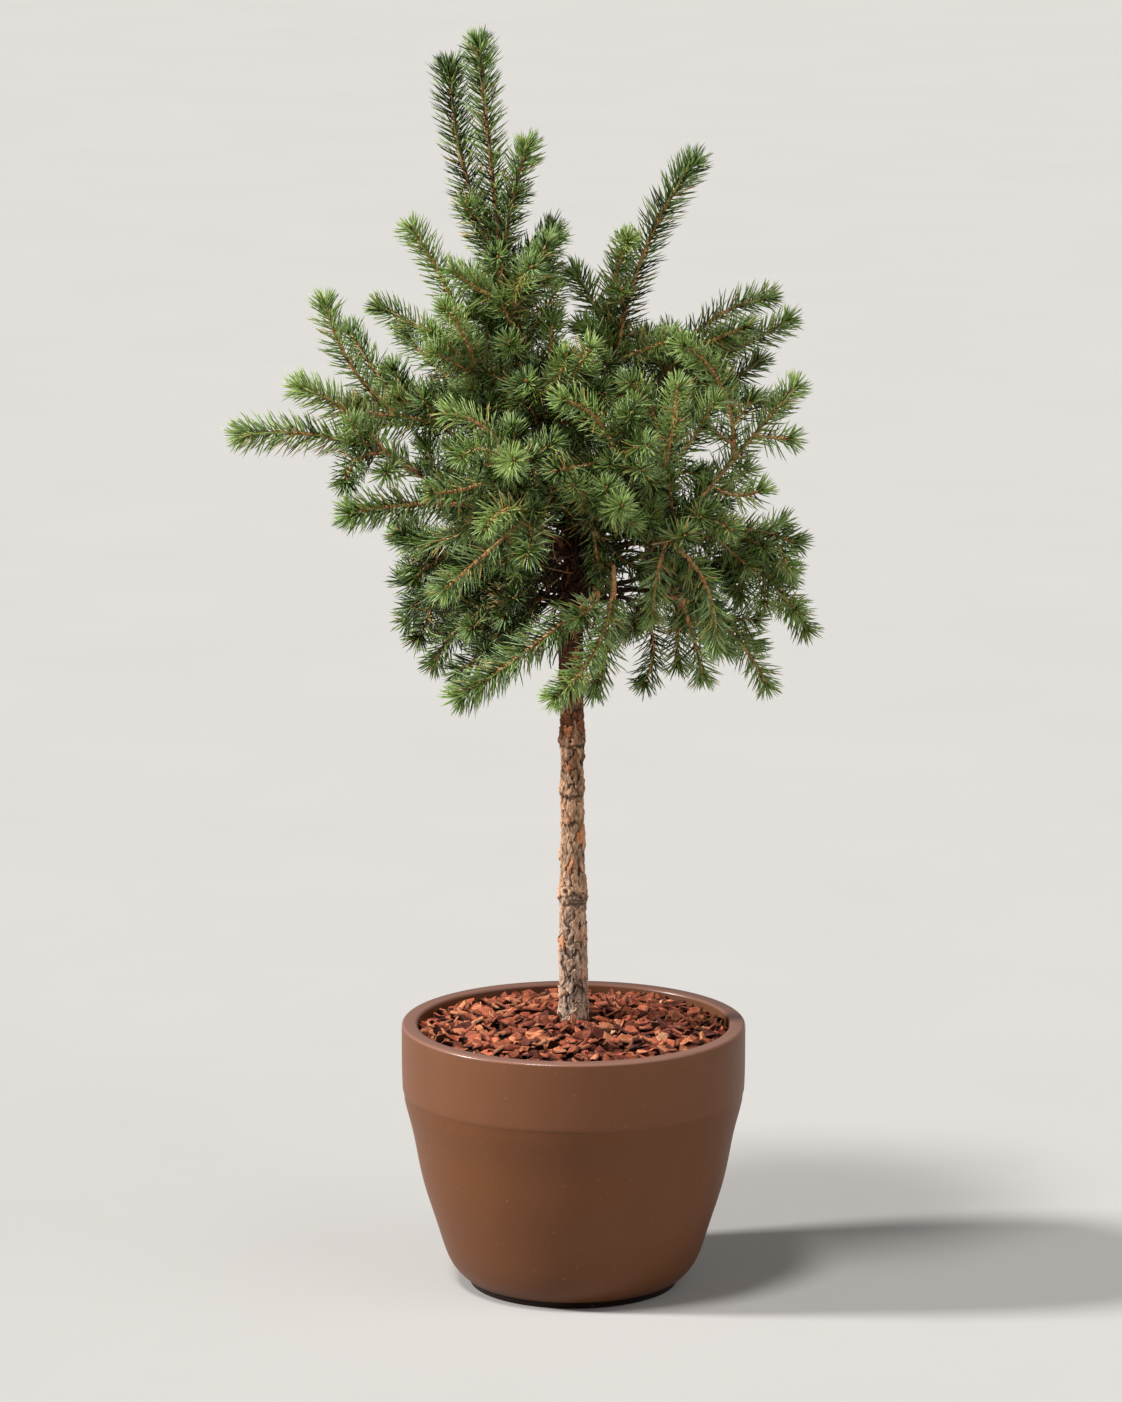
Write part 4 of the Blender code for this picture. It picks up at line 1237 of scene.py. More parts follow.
@dataclass
class Mulch:
    """A domed bed of bark chips: angular flakes with six corners, laid flat or tipped. Pairs of numbers
    are the least and the most."""

    planter: Planter
    edge_height: float = 0.333
    crown_height: float = 0.355
    reach: float = 0.2015
    wall_gap: float = 0.004
    stem_clearance: float = 0.016
    count: int = 1350
    corners: int = 6
    length: tuple[float, float] = (0.021, 0.040)
    slimness: tuple[float, float] = (0.45, 0.85)
    thickness: tuple[float, float] = (0.0024, 0.0052)
    corner_reach: tuple[float, float] = (0.72, 1.12)
    top_share: tuple[float, float] = (0.66, 0.9)
    bend: tuple[float, float] = (-0.25, 0.5)
    tip: float = 0.46
    roll: float = 0.368
    unevenness: float = 0.006
    # Painted light on the middle of a chip's top face, between the edge's highlight and the underside's
    # shade.
    painted_edge_light_on_top: float = 0.6
    wall_clearance: float = 0.0006
    seed: int = 11
    shades: tuple[tuple[str, str, float], ...] = (
        ("chips_rust", "944d34", 0.54), ("chips_orange", "b06c4a", 0.29), ("chips_dark", "5a281a", 0.15),
        ("chips_pale", "bd8765", 0.02),
    )

    def surface(self, radius: Array) -> Array:
        """Height of the bed at a radius: a low dome."""
        return self.edge_height + (self.crown_height - self.edge_height) * (1 - (radius / self.reach) ** 2)

    def chips(self, rng: np.random.Generator) -> tuple[Array, Array]:
        """Works out every chip's corners.

        The chips' middles follow a sunflower spiral, so they cover the bed evenly. A chip is an uneven
        ring of corners, a smaller copy of it above, and a middle point on each side. It is bent along
        its length, tipped, turned, and kept inside the planter's wall.

        Args:
            rng: source of the chips' unlikeness.

        Returns:
            The places, chip by chip, and one chip's triangles.
        """
        n, k = self.count, self.corners
        index = np.arange(n)
        span = self.reach - self.wall_gap - self.stem_clearance
        radius = self.stem_clearance + span * np.sqrt((index + 0.5) / n)
        angle = index * GOLDEN_ANGLE + rng.normal(0, 0.05, n)
        length = rng.uniform(*self.length, n) * rng.uniform(0.75, 1.0, n)
        width = length * rng.uniform(*self.slimness, n)
        thick = rng.uniform(*self.thickness, n)
        around = 2 * math.pi * (np.arange(k) + rng.uniform(-0.32, 0.32, (n, k))) / k
        reach = rng.uniform(*self.corner_reach, (n, k))
        long, wide = length[:, None] / 2, width[:, None] / 2
        ring = np.stack([np.cos(around) * reach * long, np.sin(around) * reach * wide, around * 0], -1)
        top = ring * rng.uniform(*self.top_share, (n, 1, 1))
        top[..., 2] += thick[:, None] * rng.uniform(0.85, 1.1, (n, k))
        middles = np.zeros((n, 2, 3))
        middles[:, 0, 2] = thick
        flakes = np.concatenate([ring, top, middles], 1)
        bend = rng.uniform(*self.bend, n)[:, None] / length[:, None]
        flakes[..., 2] += 2 * bend * flakes[..., 0] ** 2
        pitch, roll = rng.normal(0, self.tip, n), rng.normal(0, self.roll, n)
        flakes = self.turned(flakes, pitch, roll, rng.uniform(0, 2 * math.pi, n))
        lift = rng.uniform(-self.unevenness, self.unevenness, n)
        middle = np.stack([radius * np.cos(angle), radius * np.sin(angle), self.surface(radius) + lift], 1)
        flakes += middle[:, None]
        out = np.hypot(flakes[..., 0], flakes[..., 1])
        wall = self.planter.inner_radius(flakes[..., 2]) - self.wall_clearance
        flakes[..., :2] *= (np.minimum(out, wall) / out)[..., None]
        spot = np.arange(k)
        after = (spot + 1) % k
        above, below = np.full(k, 2 * k), np.full(k, 2 * k + 1)
        faces = ((spot, after, after + k), (spot, after + k, spot + k), (spot + k, after + k, above),
                 (after, spot, below))
        return flakes, np.concatenate([np.stack(face, 1) for face in faces])

    @staticmethod
    def turned(flakes: Array, pitch: Array, roll: Array, yaw: Array) -> Array:
        """Turns each flake about its own three axes.

        Args:
            flakes: the flakes' corners.
            pitch: turn about Y, in radians.
            roll: turn about X.
            yaw: turn about Z.

        Returns:
            The turned corners.
        """
        for angle, (a, b) in ((pitch, (0, 2)), (roll, (1, 2)), (yaw, (0, 1))):
            cos, sin = np.cos(angle)[:, None], np.sin(angle)[:, None]
            first, second = flakes[..., a].copy(), flakes[..., b].copy()
            flakes[..., a] = first * cos - second * sin
            flakes[..., b] = first * sin + second * cos
        return flakes

    def build(self) -> None:
        """Deals the chips out by shade and joins those of each shade. The bed's own solid shows between,
        near-black as the painted shade of the gaps.
        """
        rng = np.random.default_rng(self.seed)
        flakes, faces = self.chips(rng)
        size = flakes.shape[1]
        dealt = rng.choice(len(self.shades), self.count, p=[share for _, _, share in self.shades])
        # Painted light at each corner: painted shade on the lower ring, a painted highlight on the upper
        # ring.
        painted_edge_light = np.concatenate([np.zeros(self.corners), np.ones(self.corners), [self.painted_edge_light_on_top, 0.0]])
        for i, (name, shade, _) in enumerate(self.shades):
            mine = flakes[dealt == i]
            corners = faces[None] + np.arange(len(mine))[:, None, None] * size
            marks = {"tone": np.repeat(rng.random(len(mine)), size), "painted_edge_light": np.tile(painted_edge_light, len(mine))}
            patch = Patch(mine.reshape(-1, 3), corners.reshape(-1, 3), marks)
            make_piece(name, patch, ChipFinish(name, shade).make(), "bark_mulch", [], smooth=False)
        # The bed is near-black: painted shade in the gaps between chips.
        bed = PlainFinish("chip_gap_painted_shade", "1f0c07", 0.4, 0.012, 0.003).make()
        soil = PlainFinish("potting_soil", "2b1f18", 0.35, 0.01, 0.002).make()
        for node, finish in (("bark_mulch", bed), ("soil", soil)):
            frame["nodes"][node].data.materials.clear()
            frame["nodes"][node].data.materials.append(finish)


@dataclass
class Stem:
    """The clear stem and the leader that carries on from it: middle line, radii and bark. A spot gives
    the height, how far right the middle stands, and the radius."""

    spots: tuple[tuple[float, float, float], ...] = (
        (0.316, 0.0000, 0.0222), (0.338, 0.0000, 0.0207), (0.354, 0.0000, 0.0194), (0.411, 0.0000, 0.0183),
        (0.459, -0.0005, 0.0176), (0.505, -0.0008, 0.0170), (0.523, -0.0010, 0.0186),
        (0.540, -0.0010, 0.0163), (0.600, -0.0014, 0.0152), (0.654, -0.0016, 0.0150),
        (0.664, -0.0017, 0.0160), (0.676, -0.0017, 0.0149), (0.718, -0.0019, 0.0150),
        (0.729, -0.0019, 0.0162), (0.742, -0.0020, 0.0155), (0.800, -0.0030, 0.0152),
        (0.860, -0.0040, 0.0150), (0.895, -0.0005, 0.0152), (0.930, 0.0030, 0.0190),
        (0.975, 0.0065, 0.0190), (0.995, 0.0080, 0.0165), (1.030, -0.0020, 0.0125),
    )
    scars: tuple[Scar, ...] = (
        Scar(237, 0.529, 0.0066), Scar(20, 0.522, 0.0055), Scar(130, 0.525, 0.0060),
        Scar(305, 0.521, 0.0040), Scar(205, 0.664, 0.0046), Scar(330, 0.666, 0.0050),
        Scar(90, 0.664, 0.0050), Scar(262, 0.729, 0.0042), Scar(345, 0.731, 0.0052),
        Scar(190, 0.728, 0.0050), Scar(70, 0.730, 0.0050), Scar(280, 0.803, 0.0045),
    )
    whorls: tuple[Whorl, ...] = (
        Whorl(0.5175, 0.0012), Whorl(0.661, 0.0013), Whorl(0.727, 0.0012), Whorl(0.800, 0.0007),
        Whorl(0.862, 0.0010),
    )
    softening: float = 0.007
    seed: int = 5
    bark: Bark = Bark(0.0105, 0.019, 0.0013, 0.0016, 0.0006, 0.16, (2, 2))
    rings: int = 720
    sides: int = 120
    leader: Limb = Limb(183, 74, 0.355, 6)
    leader_foot: float = 0.995
    leader_radii: tuple[float, float] = (0.0105, 0.0055)

    def place(self, height: float) -> Array:
        """A point on the stem's middle line."""
        across = np.interp(height, [spot[0] for spot in self.spots], [spot[1] for spot in self.spots])
        return np.array([across, 0.0, height])

    def leader_path(self, steps: int = 10) -> Array:
        """Points along the leader's middle."""
        return self.leader.path(self.place(self.leader_foot), steps)

    def carrier_place(self, mass: Mass) -> Array:
        """Where a mass's bough leaves the middle line of the stem or the leader.

        Args:
            mass: the mass.

        Returns:
            The place.
        """
        if mass.carrier is TRUNK:
            return self.place(mass.height)
        line = self.leader_path()
        if mass.carrier is TIP:
            return line[-1]
        return np.array([np.interp(mass.height, line[:, 2], line[:, axis]) for axis in range(3)])

    def build(self) -> None:
        """Makes the stem: its own line and radii, softened, with plated bark and the scars of its whorls.

        The line and the radii run straight between the named spots, then a moving mean over a few
        millimetres rounds their corners.
        """
        rng = np.random.default_rng(self.seed)
        spots = np.array(self.spots)
        heights = np.linspace(spots[0, 0], spots[-1, 0], self.rings)
        window = round(self.softening / (heights[1] - heights[0]))
        kernel = np.ones(window) / window
        middle = np.stack([np.interp(heights, spots[:, 0], spots[:, 1]), heights * 0, heights], 1)
        radii = np.interp(heights, spots[:, 0], spots[:, 2])
        pad = window // 2
        for series in (middle[:, 0], radii):
            series[:] = np.convolve(np.pad(series, (pad, window - 1 - pad), "edge"), kernel, "valid")
        patch = self.bark.cover(middle, radii, self.sides, rng, self.scars, self.whorls)
        climb = (0.42, 0.58, 0.67, 0.77)
        # The high colour is the upper bark's browner tone, darkened further as painted shadow of the crown.
        finish = BarkFinish("stem_bark", "a98f7c", "b08b6e", "603a23", "b0704a", "2a1a12", climb)
        make_piece("stem", patch, finish.make(), "bark", ["trunk"])


@dataclass
class NeedleCoat:
    """How needles stand on a shoot, in pairs that wind up it.

    Leans are in degrees from the shoot's own direction. A needle's girth is given at its stations, as a
    share of its width. Tint limits are the values above which a pair takes the next tint.
    """

    length: float = 0.0335
    width: float = 0.0020
    pairs_a_metre: float = 680.0
    crowding: float = 1.4
    tuft_pairs: int = 8
    tuft_depth: float = 0.005
    tuft_lean: tuple[float, float] = (8.0, 62.0)
    lean_at_bud: float = 42.0
    lean_along: float = 58.0
    lean_growth: float = 0.010
    lean_at_foot: float = 8.0
    lean_chance: float = 6.0
    bud_chance: float = 8.0
    bud_reach: float = 0.008
    pair_spread: float = 17.0
    forward_bend: float = 0.15
    upward: float = 0.35
    stations: tuple[float, ...] = (0.0, 0.4, 0.78)
    girth: tuple[float, ...] = (0.8, 1.0, 0.72)
    tint_limits: tuple[float, ...] = (0.10, 0.33, 0.55, 0.86)
    tip_freshness: float = 0.34
    even_place: float = 0.56
    tint_chance: float = 0.30
    straw_at_foot: float = 0.15
    straw_anywhere: float = 0.018

    def needles(self, feet: Array, ways: Array, bends: Array, lengths: Array) -> Patch:
        """Makes slim three-sided needles.

        A needle's middle line runs from its foot along its way and drifts sideways with the square of
        the distance. Three corners stand round it at each station, and it ends in a point.

        Args:
            feet: where the needles start.
            ways: their first directions.
            bends: sideways drifts at the tip, as shares of the length, square to the ways.
            lengths: their lengths.

        Returns:
            The needles' surface.
        """
        n = len(feet)
        stations = np.array(self.stations)
        first = unit(np.cross(ways, bends + 1e-6))
        second = np.cross(ways, first)
        corner = turned_way(np.radians([90, 210, 330]), first[:, None], second[:, None])
        along = stations[:, None] * ways[:, None] + (stations ** 2)[:, None] * bends[:, None]
        middle = feet[:, None] + along * lengths[:, None, None]
        half = self.width / 2 * np.array(self.girth)
        rings = middle[:, :, None] + half[:, None, None] * corner[:, None]
        tips = feet + (ways + bends) * lengths[:, None]
        places = np.concatenate([rings.reshape(n, -1, 3), tips[:, None]], 1)
        faces = [(0, 2, 1)]
        last = 3 * (len(stations) - 1)
        for low in range(last):
            low_next = low - 2 if low % 3 == 2 else low + 1
            faces += [(low, low_next, low_next + 3), (low, low_next + 3, low + 3)]
        faces += [(last + spot, last + (spot + 1) % 3, last + 3) for spot in range(3)]
        corners = np.array(faces)[None] + (np.arange(n) * places.shape[1])[:, None, None]
        return Patch(places.reshape(-1, 3), corners.reshape(-1, 3))

    def leans(self, left: Array, share: Array, tuft: int, rng: np.random.Generator) -> Array:
        """How far each pair leans out from the shoot.

        Args:
            left: how far each pair stands from the bud.
            share: its share of the way from foot to bud.
            tuft: how many pairs at the end belong to the tuft round the bud.
            rng: source of their unlikeness.

        Returns:
            The leans, in degrees.
        """
        opening = (self.lean_along - self.lean_at_bud) * (1 - np.exp(-left / self.lean_growth))
        chance = self.lean_chance + self.bud_chance * np.exp(-left / self.bud_reach)
        lean = self.lean_at_bud + opening
        lean = lean + self.lean_at_foot * (1 - share) + rng.normal(0, 1, len(left)) * chance
        least, span = self.tuft_lean
        lean[len(left) - tuft:] = least + span * np.sqrt(rng.random(tuft))
        return lean

    def tints(self, glow: float, along: Array, rng: np.random.Generator) -> Array:
        """Which tint each pair takes: its value rises with the glow and towards the tip, and by chance.

        Args:
            glow: how fresh the shoot is, 0 to 1; it also carries painted light, lower where the shoot lies
                in shade.
            along: how far up the shoot each pair stands, 0 to 1.
            rng: source of chance.

        Returns:
            For each pair the number of its tint.
        """
        value = glow + self.tip_freshness * (along - self.even_place)
        value = value + rng.normal(0, self.tint_chance, len(along))
        tint = 1 + (value[:, None] > np.array(self.tint_limits)).sum(1)
        tint[rng.random(len(along)) < self.straw_at_foot * (1 - along) + self.straw_anywhere] = 0
        return tint

    def dress(self, path: Array, bare: float, glow: float, scale: float, thinning: float,
              rng: np.random.Generator, bags: dict[Tint, Bag]) -> int:
        """Sets needles all along a shoot and deals them out by tint.

        Pairs follow the golden angle up the shoot. They lean forward, most of all near the bud, where
        they close into a brush. A pair's two needles turn apart and bend towards the tip and the sky.

        Args:
            path: points along the shoot.
            bare: how much of its foot carries no needles.
            glow: how fresh the shoot is, 0 to 1; it also carries painted light, lower where the shoot lies
                in shade.
            scale: length of its needles against the usual.
            thinning: share of the usual number of pairs.
            rng: source of their unlikeness.
            bags: the bag of each tint.

        Returns:
            How many needles were set.
        """
        steps = np.linalg.norm(np.diff(path, axis=0), axis=1)
        travelled = np.concatenate([[0], np.cumsum(steps)])
        total = travelled[-1]
        pairs = int((total - bare) * self.pairs_a_metre * thinning)
        if pairs < 3:
            return 0
        share = (np.arange(pairs) + rng.uniform(0, 1, pairs)) / pairs
        tuft = round(self.tuft_pairs * thinning) if thinning >= 1 else 0
        spot = bare + (total - bare) * (1 - (1 - share) ** self.crowding)
        spot = np.concatenate([spot, total - rng.uniform(0, self.tuft_depth, tuft)])
        share = np.concatenate([share, np.ones(tuft)])
        pairs += tuft
        foot, way, side, other = (
            np.stack([np.interp(spot, travelled, line[:, axis]) for axis in range(3)], 1)
            for line in (path, *frames_along(path)))
        left = total - spot
        lean = self.leans(left, share, tuft, rng)
        turn = np.arange(pairs) * GOLDEN_ANGLE + rng.normal(0, 0.25, pairs)
        reach = self.length * scale * rng.uniform(0.82, 1.08, pairs)
        reach = reach * (0.8 + 0.2 * smooth_step(left / 0.02))
        tint = self.tints(glow, spot / total, rng)
        leaning = np.sin(np.radians(np.clip(lean, 20, 90)))
        for half in (-1, 1):
            apart = half * np.radians(self.pair_spread) * rng.uniform(0.4, 1.3, pairs)
            own_lean = np.radians(lean + rng.normal(0, 3.5, pairs))
            out = turned_way(turn + apart / leaning, side, other)
            ray = turned_way(own_lean, way, out)
            pull = 0.8 * way + np.array([0, 0, self.upward]) + rng.normal(0, 0.35, (pairs, 3))
            bend = unit(pull - ray * (pull * ray).sum(1)[:, None])
            bend = bend * (self.forward_bend * rng.uniform(0.2, 1.8, pairs))[:, None]
            lengths = reach * rng.uniform(0.92, 1.06, pairs)
            for level, kind in enumerate(Tint):
                mine = tint == level
                if mine.any():
                    bags[kind].add(self.needles(foot[mine], ray[mine], bend[mine], lengths[mine]))
        return 2 * pairs


@dataclass
class Twig:
    """A grown twig: its middle line, its radii at foot and tip, its needles' glow, its wood, its bare
    foot, and its needles' length and number against the usual."""

    path: Array
    radii: tuple[float, float]
    glow: float
    wood: Wood
    bare: float = 0.006
    needle: float = 1.0
    thinning: float = 1.0
    buds: bool = True


@dataclass(frozen=True)
class Thicket:
    """Dead, bare twigs on the stem: how many, between which heights and headings, and their wood."""

    count: int
    heights: tuple[float, float]
    headings: tuple[float, float]
    wood: Wood


@dataclass
class Crown:
    """The head: boughs with bark, twigs that grow on from them, buds, and needles in tints. Pairs of
    radii are at the foot and at the tip, pairs of spreads and lengths are the least and the most."""

    stem: Stem
    coat: NeedleCoat = field(default_factory=NeedleCoat)
    bough_steps: int = 6
    trunk_bough_radii: tuple[float, float] = (0.0045, 0.0027)
    leader_bough_radii: tuple[float, float] = (0.0044, 0.0028)
    tip_radii: tuple[float, float] = (0.0055, 0.0050)
    fork_radius: float = 0.0029
    shoot_tip_radius: float = 0.0020
    side_radii: tuple[float, float] = (0.0021, 0.0013)
    extra_radii: tuple[float, float] = (0.0024, 0.0014)
    leader_twig_radii: tuple[float, float] = (0.0027, 0.0016)
    leader_twigs_count: int = 26
    stray: float = 0.045
    step: float = 0.004
    twig_sides: int = 7
    roughness: float = 0.09
    # Less glow for the needles inside the head: painted shade.
    inner_painted_shade: float = 0.2
    bud_length: float = 0.0085
    bud_radius: float = 0.0021
    bough_bark: Bark = Bark(0.008, 0.014, 0.0006, 0.0006, 0.00022)
    leader_bark: Bark = Bark(0.009, 0.016, 0.0007, 0.0007, 0.00025)
    bough_sides: int = 20
    leader_sides: int = 40
    bough_swell: float = 0.55
    swell_reach: float = 0.012
    bough_thinning: float = 0.45
    shoot_foot_radius: float = 0.0023
    radius_a_length: float = 0.0050
    bare_slimming: float = 0.035
    usual_bare: float = 0.02
    fresh_wood_glow: float = 0.4
    glow_chance: float = 0.16
    mass_seed: int = 300
    skin_seed: int = 41
    leader_seed: int = 58
    thicket_seed: int = 77
    thickets: tuple[Thicket, ...] = (
        Thicket(150, (0.90, 1.03), (0, 360), Wood.OLD),
        Thicket(90, (0.955, 1.01), (-75, 40), Wood.OLD),
        Thicket(26, (0.93, 1.04), (200, 340), Wood.MIDDLE),
    )

    def __post_init__(self) -> None:
        """Readies a bag for each kind of piece."""
        self.limbs = Bag()
        self.wood = {kind: Bag() for kind in Wood}
        self.needles = {kind: Bag() for kind in Tint}
        self.buds = Bag()
        self.count = 0

    def mass_lines(self, mass: Mass) -> tuple[Array | None, Array, list[Array]]:
        """Middle lines of a mass by the solids' own rule, in finer steps.

        Args:
            mass: the mass.

        Returns:
            The bough's line, or None at the leader's tip, the collar that carries the fork, and a line
            for each shoot.
        """
        start = self.stem.carrier_place(mass)
        if mass.carrier is TIP:
            line = self.stem.leader_path()
            way = unit(line[-1] - line[-2])
            bough, collar = None, start + np.outer((0, self.step, 2 * self.step), way)
        else:
            steps = max(12, round(mass.bough.length / self.step))
            line = mass.bough.path(start, steps)
            cut = round(steps * (1 - 1 / self.bough_steps))
            collar = line[cut:]
            chance = np.random.default_rng(round(mass.height * 1e4))
            bough = wandering(line[:cut + 1], self.stray * mass.bough.length, chance)
        lines: list[Array] = []
        for shoot in mass.shoots:
            foot = collar[-1]
            if shoot.parent is not None:
                parent = lines[shoot.parent]
                spot = shoot.share * (len(parent) - 1)
                foot = np.array([np.interp(spot, range(len(parent)), parent[:, axis]) for axis in range(3)])
            lines.append(shoot.path(foot, max(6, round(shoot.length / self.step))))
        return bough, collar, lines

    def finer_twig(self, carrier: Array, share: float, spreads: tuple[float, float],
                   lengths: tuple[float, float], rng: np.random.Generator) -> Array:
        """A short twig that leaves a carrier's line sideways and turns upwards a little.

        Args:
            carrier: points along the limb that carries it.
            share: how far along the carrier it starts.
            spreads: least and greatest angle that it makes with the carrier, in degrees.
            lengths: its least and greatest length.
            rng: source of its angle, length and side.

        Returns:
            Points along the twig.
        """
        spread, length = math.radians(rng.uniform(*spreads)), rng.uniform(*lengths)
        ways, first, second = frames_along(carrier)
        spot = min(len(carrier) - 1, round(share * (len(carrier) - 1)))
        out = turned_way(np.array(rng.uniform(0, 2 * math.pi)), first[spot], second[spot])
        way = unit(turned_way(np.array(spread), ways[spot], out) + np.array([0, 0, 0.12]))
        rise = math.degrees(math.asin(way[2]))
        heading = math.degrees(math.atan2(way[1], way[0]))
        limb = Limb(heading, rise, length, rng.uniform(-10, 35), rng.uniform(-20, 20))
        return limb.path(carrier[spot], max(6, round(length / self.step)))

    def add_bough(self, bough: Array, mass: Mass, radii: tuple[float, float],
                  rng: np.random.Generator) -> None:
        """Gives a bough its bark and the few needles on its outer part.

        Its radius falls evenly, and swells at the foot by an exponential.

        Args:
            bough: points along its middle.
            mass: the mass that it carries.
            radii: its radii at foot and tip.
            rng: source of the bark and the needles.
        """
        share = np.linspace(0, 1, len(bough))
        swell = 1 + self.bough_swell * np.exp(-share * mass.bough.length / self.swell_reach)
        own_radii = (radii[0] + (radii[1] - radii[0]) * share) * swell
        self.limbs.add(self.bough_bark.cover(bough, own_radii, self.bough_sides, rng))
        bare = mass.bough.length * max(0.5, mass.inner)
        # Painted shade: needles on the inner bough take darker tints.
        glow = mass.glow - self.inner_painted_shade
        self.count += self.coat.dress(bough, bare, glow, 1.0, self.bough_thinning, rng, self.needles)

    def grow(self, mass: Mass, index: int) -> list[Twig]:
        """Grows one mass: its bough, its shoots, and finer twigs on the bough, at the fork and on the
        shoots' feet.

        A shoot's foot is thicker the longer the shoot is, and thinner where it stays bare further up.

        Args:
            mass: the mass.
            index: its number, which seeds its chance.

        Returns:
            The twigs.
        """
        rng = np.random.default_rng(self.mass_seed + index)
        bough, collar, lines = self.mass_lines(mass)
        radii = self.trunk_bough_radii if mass.carrier is TRUNK else self.leader_bough_radii
        wood = Wood.YOUNG if mass.glow >= self.fresh_wood_glow else Wood.MIDDLE
        if bough is not None:
            self.add_bough(bough, mass, radii, rng)
        collar_radii = self.tip_radii if bough is None else (radii[1], self.fork_radius)
        # Painted shade: needles at the fork inside the head take darker tints.
        glow = mass.glow - self.inner_painted_shade
        twigs = [Twig(collar, collar_radii, glow, Wood.MIDDLE, thinning=0.5, buds=False)]
        spindly = mass.bare > self.usual_bare
        for shoot, line in zip(mass.shoots, lines):
            slimming = self.bare_slimming * max(0, mass.bare - self.usual_bare)
            foot_radius = self.shoot_foot_radius + self.radius_a_length * shoot.length - slimming
            twigs.append(Twig(line, (foot_radius, self.shoot_tip_radius), mass.glow + shoot.glow, wood,
                              mass.bare, shoot.needle, mass.lush))
            for share in rng.uniform(0.15, 0.75, mass.dense):
                side = self.finer_twig(line, share, (40, 65), (0.05, 0.08), rng)
                twigs.append(Twig(side, self.side_radii, mass.glow, wood))
            for share in (0.10, 0.24) if shoot.length > 0.12 and not spindly else ():
                if rng.random() < 0.6:
                    side = self.finer_twig(line, share, (45, 65), (0.035, 0.060), rng)
                    twigs.append(Twig(side, self.side_radii, mass.glow, wood))
        for i in range(mass.extra):
            on_fork = i % 3 == 2 or bough is None
            carrier = collar if on_fork else bough
            share = rng.uniform(0.5 if on_fork else mass.inner, 1.0)
            side = self.finer_twig(carrier, share, (40, 75), (0.05, 0.09), rng)
            twigs.append(Twig(side, self.extra_radii, mass.glow - 0.1, wood))
        return twigs

    def add_twig(self, twig: Twig, rng: np.random.Generator) -> None:
        """Gives a twig its skin, its needles and its buds.

        The skin is a tube whose radius falls evenly from foot to tip, roughened by a small random share
        at each corner, as the feet of fallen needles do.

        Args:
            twig: the twig.
            rng: source of its roughness.
        """
        rings = len(twig.path)
        radii = np.linspace(*twig.radii, rings)[:, None]
        rough = 1 + rng.normal(0, self.roughness, (rings, self.twig_sides))
        self.wood[twig.wood].add(tube(twig.path, radii * rough))
        glow = twig.glow + rng.normal(0, self.glow_chance)
        self.count += self.coat.dress(twig.path, twig.bare, glow, twig.needle, twig.thinning, rng,
                                      self.needles)
        if twig.buds:
            self.add_buds(twig, rng)

    def add_buds(self, twig: Twig, rng: np.random.Generator) -> None:
        """Sets one large bud and two small ones on a twig's tip.

        A bud is an egg: its radius follows the square root of a sine along its length, slimmer to the
        tip.

        Args:
            twig: the twig.
            rng: source of the buds' directions.
        """
        way = unit(twig.path[-1] - twig.path[-2])
        share = np.linspace(0, 1, 5)
        egg = np.sqrt(np.sin(math.pi * (0.12 + 0.84 * share))) * (1 - 0.35 * share)
        for size, tilt in ((1.0, 0.035), (0.7, 0.385), (0.7, 0.385)):
            ray = unit(way + rng.normal(0, 1, 3) * tilt)
            line = twig.path[-1] + np.outer(share, ray) * self.bud_length * size
            self.buds.add(tube(line, np.repeat((self.bud_radius * size * egg)[:, None], 5, 1)))

    def leader_twigs(self) -> list[Twig]:
        """Finer twigs all along the leader."""
        rng = np.random.default_rng(self.leader_seed)
        line = self.stem.leader_path(60)
        twigs = []
        for share in np.linspace(0.12, 0.97, self.leader_twigs_count):
            path = self.finer_twig(line, share, (40, 72), (0.055, 0.105), rng)
            twigs.append(Twig(path, self.leader_twig_radii, 0.4, Wood.YOUNG))
        return twigs

    def add_bare_twigs(self) -> None:
        """Dead, bare twigs round the swollen top of the stem: dark ones all round, more of them to the
        right, and a few paler ones in front."""
        rng = np.random.default_rng(self.thicket_seed)
        steps = 18
        for thicket in self.thickets:
            for _ in range(thicket.count):
                start = self.stem.place(rng.uniform(*thicket.heights))
                limb = Limb(rng.uniform(*thicket.headings), rng.uniform(-70, 60), rng.uniform(0.05, 0.16),
                            rng.uniform(-100, 100), rng.uniform(-90, 90))
                path = wandering(limb.path(start, steps), 0.007, rng)
                radii = np.linspace(rng.uniform(0.0012, 0.0028), 0.0006, steps + 1)
                self.wood[thicket.wood].add(tube(path, np.repeat(radii[:, None], 6, 1)))

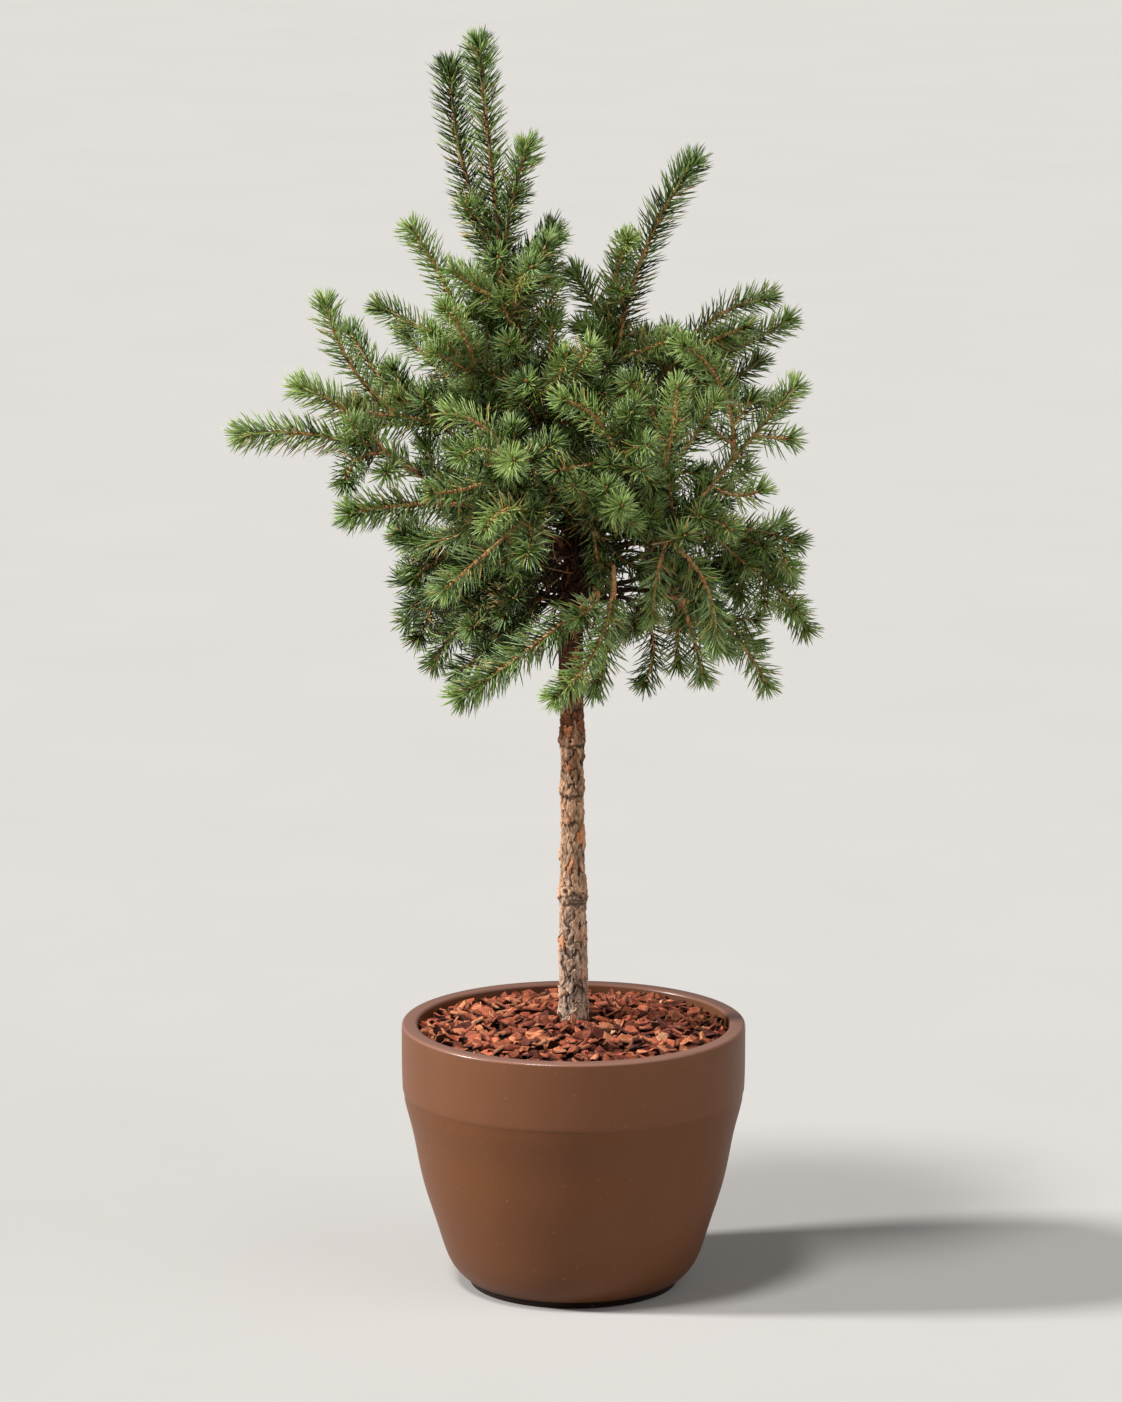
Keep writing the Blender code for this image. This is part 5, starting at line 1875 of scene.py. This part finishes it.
    def build(self) -> None:
        """Grows every mass, then makes the pieces."""
        rng = np.random.default_rng(self.skin_seed)
        for index, mass in enumerate(HEAD):
            for twig in self.grow(mass, index):
                self.add_twig(twig, rng)
        for twig in self.leader_twigs():
            self.add_twig(twig, rng)
        self.add_bare_twigs()
        leader = self.stem.leader_path(90)
        radii = np.linspace(*self.stem.leader_radii, len(leader))
        bark = self.leader_bark.cover(leader, radii, self.leader_sides, rng)
        climb = (0.95, 1.05, 1.1, 1.25)
        finish = BarkFinish("leader_bark", "4d3828", "5c3c28", "6b4128", "7a4a2e", "21150f", climb)
        make_piece("leader_wood", bark, finish.make(), "bark", ["leader"])
        boughs = ["bough_" + mass.name for mass in HEAD if mass.bough is not None and mass.own_bough]
        masses = ["needles_" + mass.name for mass in HEAD]
        climb = (0.98, 1.06, 1.1, 1.3)
        finish = BarkFinish("bough_bark", "3c2214", "74492e", "8a5836", "94603a", "1c110b", climb)
        make_piece("boughs", self.limbs.joined(), finish.make(), "bark", boughs)
        for kind, bag in self.wood.items():
            make_piece("twigs_" + kind.name.lower(), bag.joined(), TwigFinish(kind).make(), "bark", masses)
        make_piece("buds", self.buds.joined(), TwigFinish(Wood.YOUNG).make(), "bark", masses)
        for kind, bag in self.needles.items():
            name = "needles_" + kind.name.lower()
            make_piece(name, bag.joined(), NeedleFinish(kind).make(), "needles", masses)
        log.info("%d needles", self.count)


@dataclass(frozen=True)
class Lamp:
    """A soft sun: the direction from the plant to it, its strength, and how wide it looks in degrees."""

    name: str
    towards: tuple[float, float, float]
    strength: float
    width: float

    def hang(self) -> None:
        """Adds the light."""
        data = bpy.data.lights.new(self.name, "SUN")
        data.energy = self.strength
        data.angle = math.radians(self.width)
        light = bpy.data.objects.new(self.name, data)
        light.rotation_euler = Vector(self.towards).to_track_quat("Z", "Y").to_euler()
        bpy.context.scene.collection.objects.link(light)


@dataclass
class Studio:
    """Plain pale floor, soft light from the left and the front, and the camera at the photo's angle."""

    photo_height: float = 1402
    focal_pixels: float = 6283
    sensor: float = 36.0
    place: tuple[float, float, float] = (-0.0164, -8.0, 2.387)
    pitch: float = 11.36
    far_end: float = 200.0
    floor_radius: float = 60.0
    floor_drop: float = 0.0002
    floor_sides: int = 96
    room: tuple[float, float, float, float] = (1.0, 0.99, 0.97, 1)
    room_strength: float = 0.12
    lamps: tuple[Lamp, ...] = (
        Lamp("key", (-1.0, -0.12, 0.55), 4.5, 8),
        Lamp("overhead", (-0.3, -0.34, 1.0), 1.95, 12),
        Lamp("fill", (1.0, -0.6, 0.75), 0.9, 60),
    )

    def build(self) -> None:
        """Sets the floor, the room's even light, the soft suns and the camera."""
        self.lay_floor()
        world = bpy.data.worlds.new("soft_room")
        world.use_nodes = True
        back = world.node_tree.nodes["Background"]
        back.inputs["Color"].default_value = self.room
        back.inputs["Strength"].default_value = self.room_strength
        bpy.context.scene.world = world
        for lamp in self.lamps:
            lamp.hang()
        self.set_camera()
        bpy.context.scene.view_settings.view_transform = "Standard"

    def lay_floor(self) -> None:
        """Lays a flat disc just under the pot, a fan of triangles round its middle."""
        spot = np.arange(self.floor_sides)
        angles = 2 * math.pi * spot / self.floor_sides
        ring = np.stack([np.cos(angles), np.sin(angles), angles * 0], 1) * self.floor_radius
        corners = np.stack([np.full(len(spot), len(spot)), spot, (spot + 1) % len(spot)], 1)
        places = np.concatenate([ring, [(0, 0, 0)]]) - (0, 0, self.floor_drop)
        finish = PlainFinish("pale_floor", "bcb9b5", 0.015, 0.6, 0.0).make()
        floor = make_piece("floor", Patch(places, corners), finish, None, [])

    def set_camera(self) -> None:
        """Stands the camera where the photo was taken, with its field of view."""
        data = bpy.data.cameras.new("camera")
        data.sensor_width = self.sensor
        data.lens = self.focal_pixels / self.photo_height * self.sensor
        data.clip_end = self.far_end
        camera = bpy.data.objects.new("camera", data)
        camera.location = self.place
        camera.rotation_euler = (math.radians(90 - self.pitch), 0, 0)
        bpy.context.scene.collection.objects.link(camera)
        bpy.context.scene.camera = camera


def main() -> None:
    """Builds the sub-assemblies in order."""
    planter = Planter()
    stem = Stem()
    for part in (planter, Mulch(planter), stem, Crown(stem), Studio()):
        log.info("%s", type(part).__name__)
        part.build()


if __name__ == "__main__":
    main()
